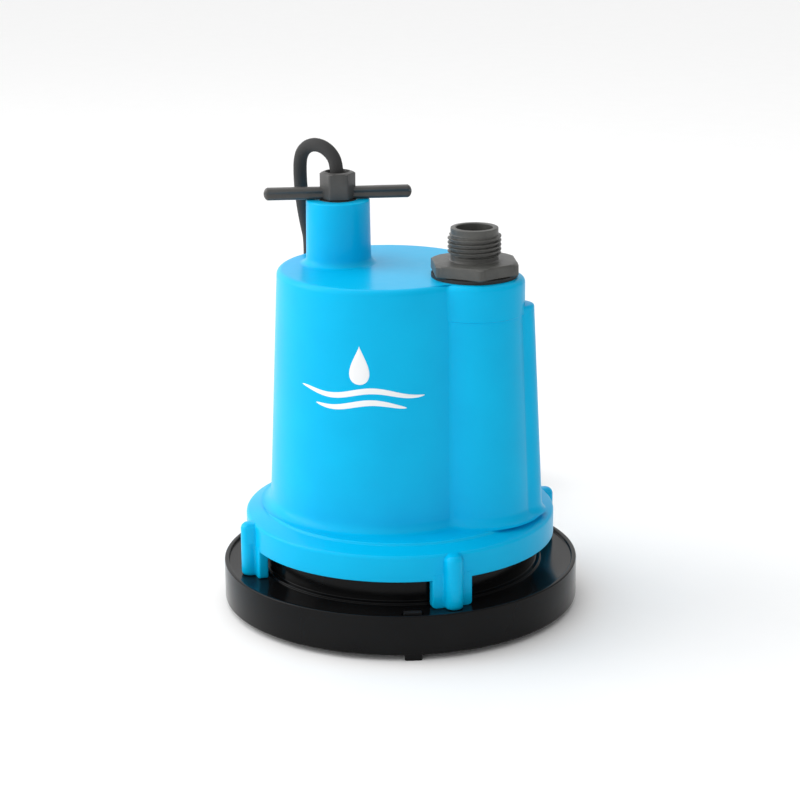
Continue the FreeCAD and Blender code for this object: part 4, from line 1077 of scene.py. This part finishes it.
@dataclass
class PowerCord:
    """The cord with its put-away coil and its plug."""

    radius: float = 0.0035
    centre: tuple[float, float] = (-0.0710, 0.1430)
    tracks: tuple[float, float] = (0.0385, 0.0455)
    layers: int = 4
    points_a_turn: int = 16
    cross: float = math.radians(45)
    plug_start: float = -0.0705
    plug_y: float = 0.1850
    plug_level: float = 0.0380
    plug_long: float = 0.0300
    plug_wide: float = 0.0260
    plug_tall: float = 0.0200
    neck_long: float = 0.0175

    def coil_points(self) -> Array:
        """The coil's turns, two side by side in each layer.

        Formula: at sweep s the cord lies at (cx - R cos s, cy + R sin s, z). Turn k keeps its
        track, then crosses to the next one over a set arc that steps back each turn, so that
        no crossing meets another.

        Returns:
            Control points of shape (count, 3).
        """
        inner, outer = self.tracks
        turns = 2 * self.layers
        track = [outer if (k + 1) // 2 % 2 == 0 else inner for k in range(turns)]
        level = [self.radius * (1 + 2 * (k // 2)) for k in range(turns)]
        last = TAU * turns - (turns - 1) * self.cross - math.radians(20)
        sweep = np.arange(TAU / self.points_a_turn, last, TAU / self.points_a_turn)
        reach = np.full(len(sweep), track[0])
        height = np.full(len(sweep), level[0])
        for k in range(1, turns):
            start = TAU * k - k * self.cross - math.radians(10)
            share = smooth_step(start, start + self.cross, sweep)
            reach += (track[k] - track[k - 1]) * share
            height += (level[k] - level[k - 1]) * share
        reach /= (3 + math.cos(TAU / self.points_a_turn)) / 4
        return np.column_stack((self.centre[0] - reach * np.cos(sweep),
                                self.centre[1] + reach * np.sin(sweep), height))

    def route(self) -> list[tuple[float, float, float]]:
        """Every control point of the cord, from the gland to the plug."""
        coil = [tuple(float(v) for v in point) for point in self.coil_points()]
        while coil and coil[-1][1] > PLUG_BEND[0][1] - 0.008:
            coil.pop()
        return CORD_ROUTE + coil + PLUG_BEND

    def cord(self) -> tuple[Piece, float]:
        """The cord as one open NURBS curve.

        Returns:
            The curve object and its length.
        """
        curve = bpy.data.curves.new("power_lead", "CURVE")
        curve.dimensions = "3D"
        spline = curve.splines.new("NURBS")
        points = self.route()
        spline.points.add(len(points) - 1)
        for spot, point in zip(spline.points, points):
            spot.co = (*point, 1.0)
        spline.order_u = 3
        spline.use_endpoint_u = True
        spline.resolution_u = 6
        piece = bpy.data.objects.new("power_lead", curve)
        bpy.context.scene.collection.objects.link(piece)
        graph = bpy.context.evaluated_depsgraph_get()
        line = bpy.data.meshes.new_from_object(piece.evaluated_get(graph))
        spots = np.empty(len(line.vertices) * 3)
        line.vertices.foreach_get("co", spots)
        length = float(np.linalg.norm(np.diff(spots.reshape(-1, 3), axis=0), axis=1).sum())
        bpy.data.meshes.remove(line)
        curve.bevel_depth = self.radius
        curve.bevel_resolution = 7
        curve.use_fill_caps = True
        curve.materials.append(JACKET.material())
        return piece, length

    def plug(self) -> Skin:
        """The moulded plug: a soft box with finger ridges, and a ribbed neck.

        Formula: each section is a superellipse whose half sizes follow the plug's length, with
        ridges of 0.35 mm on the grip and ribs of 0.5 mm on the neck.

        Returns:
            The plug's skin.
        """
        turn = np.arange(96) * TAU / 96
        body = np.linspace(0.0, self.plug_long, 61)
        neck = np.linspace(-self.neck_long, -0.0005, 50)
        along = np.concatenate((neck, body))
        on_body = along >= 0
        ends = np.sqrt(np.clip(1 - np.clip(1 - along / 0.004, 0, 1) ** 2, 0, 1)) * np.sqrt(
            np.clip(1 - np.clip((along - self.plug_long + 0.0015) / 0.0015, 0, 0.93) ** 2, 0, 1))
        ridge = 0.00035 * np.sin(along / 0.0024 * TAU) * smooth_step(0.008, 0.010, along) * (
            1 - smooth_step(0.020, 0.022, along))
        share = np.clip((along + self.neck_long) / self.neck_long, 0, 1)
        rib = 0.0005 * (np.sin(share * 6 * TAU - 0.8) > 0.1) * (share < 0.86)
        round_neck = 0.0048 + 0.0032 * share ** 1.4 + rib
        grip_wide = (self.plug_wide / 2 - 0.0004) * (0.72 + 0.28 * ends) + ridge
        grip_tall = (self.plug_tall / 2 - 0.0002) * (0.78 + 0.22 * ends) + ridge * 0.3
        wide = np.where(on_body, np.maximum(grip_wide, 0), round_neck)
        tall = np.where(on_body, grip_tall, round_neck)
        power = np.where(on_body, 4.0, 2.0)[:, None]
        square = (np.abs(np.cos(turn)) ** power + np.abs(np.sin(turn)) ** power) ** (-1 / power)
        over = np.clip((along - self.plug_long + 0.0012) / 0.0012, 0, 0.9)
        shrink = np.sqrt(np.clip(1 - over ** 2, 0.19, 1))[:, None]
        rings = np.stack((np.broadcast_to(self.plug_start + along[:, None], (len(along), 96)),
                          self.plug_y + wide[:, None] * shrink * square * np.cos(turn),
                          self.plug_level + tall[:, None] * shrink * square * np.sin(turn)), axis=2)
        return Skin().add(rings)

    def prongs(self) -> Skin:
        """Two flat blades and a round ground pin, each with a softened tip."""
        skin = Skin()
        face = self.plug_start + self.plug_long - 0.0006
        blade = rounded_path([(-0.00072, -0.00312, 0.0003), (0.00072, -0.00312, 0.0003),
                              (0.00072, 0.00312, 0.0003), (-0.00072, 0.00312, 0.0003)])
        tips = ((0.0, 0.0), (0.0160, 0.0), (0.0170, 0.00015), (0.0175, 0.0005))
        for y, z in ((-0.00635, 0.00365), (0.00635, 0.00365)):
            rings = extrude(blade, tips)[:, :, (2, 0, 1)]
            skin.add(rings + np.array((face, self.plug_y + y, self.plug_level + z)))
        pin = rounded_path([(0.00238, 0, 0), (0.00238, 0.0204, 0.0018), (0.0004, 0.0204, 0)], closed=False)
        rings = revolve(pin, 48)[:, :, (2, 0, 1)]
        skin.add(rings + np.array((face, self.plug_y, self.plug_level - 0.0055)))
        return skin

    def make(self) -> None:
        lead, length = self.cord()
        fit(lead, "root", "cord_jacket", "power_cord", "cord_coil")
        plug = fit(self.plug().build("moulded_plug", PLUG), "root", "plug_moulding", "power_plug")
        prongs = fit(self.prongs().build("plug_blades", BRASS), "root", "plug_brass", "plug_prongs")
        LOG.info("cord length %.3f m", length)


# ---------------------------------------------------------------- studio and camera

@dataclass
class Studio:
    """A pale floor, soft lamps and the camera."""

    floor_reach: float = 6.0
    camera_spot: tuple[float, float, float] = (0.4937, -1.0034, 0.4324)
    heading: tuple[float, float] = (-0.4415, 0.8973)
    dip: float = 0.283
    roll: float = -0.008
    lens: float = 100.9
    sensor: float = 36.0

    def floor(self) -> None:
        """A wide plain disc under the pump."""
        turn = np.arange(96) * TAU / 96
        plan = self.floor_reach * np.column_stack((np.cos(turn), np.sin(turn), np.zeros(96)))
        mesh = bpy.data.meshes.new("floor")
        mesh.from_pydata(plan.tolist(), [], [list(range(96))])
        paper = Finish("studio_floor", (0.96, 0.96, 0.96), (0.95, 0.95, 0.95), 0.75, specular=0.2,
                       grain_scale=40.0, relief=0.02)
        mesh.materials.append(paper.material())
        floor = bpy.data.objects.new("floor", mesh)
        bpy.context.scene.collection.objects.link(floor)

    def lamp(self, name: str, bearing: float, lift: float, distance: float, size: tuple[float, float],
             power: float) -> None:
        """A soft rectangular lamp that looks at the pump.

        Args:
            name: the lamp's name.
            bearing: its direction from the pump in degrees, from +X towards +Y.
            lift: its height above the floor.
            distance: its distance from the pump over the floor.
            size: its width and height.
            power: its power in watts.
        """
        light = bpy.data.lights.new(name, "AREA")
        light.shape = "RECTANGLE"
        light.size, light.size_y = size
        light.energy = power
        lamp = bpy.data.objects.new(name, light)
        turn = math.radians(bearing)
        spot = Vector((distance * math.cos(turn), distance * math.sin(turn), lift))
        look = (Vector((0.0, 0.0, 0.11)) - spot).to_track_quat("-Z", "Y")
        lamp.matrix_world = Matrix.Translation(spot) @ look.to_matrix().to_4x4()
        bpy.context.scene.collection.objects.link(lamp)

    def sky(self) -> None:
        """A white surround, brighter towards the left of the camera.

        Formula: strength runs from 0.30 to 1.55 as direction . left runs from -1 to 1.
        """
        world = bpy.data.worlds.new("surround")
        world.use_nodes = True
        tree = world.node_tree
        towards = tree.nodes.new("ShaderNodeTexCoord").outputs["Generated"]
        lean = tree.nodes.new("ShaderNodeVectorMath")
        lean.operation = "DOT_PRODUCT"
        lean.inputs[1].default_value = (-0.94, -0.33, 0.05)
        spread = tree.nodes.new("ShaderNodeMapRange")
        spread.inputs["From Min"].default_value = -1.0
        spread.inputs["To Min"].default_value = 0.30
        spread.inputs["To Max"].default_value = 1.55
        tree.links.new(towards, lean.inputs[0])
        tree.links.new(lean.outputs["Value"], spread.inputs["Value"])
        tree.links.new(spread.outputs["Result"], tree.nodes["Background"].inputs["Strength"])
        tree.nodes["Background"].inputs["Color"].default_value = (1.0, 1.0, 1.0, 1.0)
        bpy.context.scene.world = world

    def camera(self) -> None:
        """The camera, level but for its dip and a slight roll."""
        data = bpy.data.cameras.new("camera")
        data.sensor_width = self.sensor
        data.lens = self.lens
        data.shift_x = 0.0011
        across, along = self.heading
        gaze = Vector((across * math.cos(self.dip), along * math.cos(self.dip), -math.sin(self.dip)))
        aim = gaze.to_track_quat("-Z", "Y").to_matrix().to_4x4()
        camera = bpy.data.objects.new("camera", data)
        roll = Matrix.Rotation(self.roll, 4, "Z")
        camera.matrix_world = Matrix.Translation(self.camera_spot) @ aim @ roll
        bpy.context.scene.collection.objects.link(camera)
        bpy.context.scene.camera = camera

    def make(self) -> None:
        """Set up the floor, the lamps and the camera."""
        self.floor()
        self.sky()
        self.lamp("key_lamp", -160.0, 0.9, 1.3, (0.9, 1.2), 8.0)
        self.lamp("top_lamp", 150.0, 1.6, 0.6, (1.2, 1.2), 4.0)
        self.camera()
        bpy.context.scene.view_settings.view_transform = "Standard"


def main() -> None:
    """Build the studio and the pump's finished pieces in order."""
    logging.basicConfig(level=logging.INFO, format="%(name)s: %(message)s")
    Studio().make()
    PowerCord().make()
    dress_nodes()
    HousingCasting().make()
    BaseMoulding().make()
    GlandNut().make()
    HoseAdapter().make()


if __name__ == "__main__":
    main()
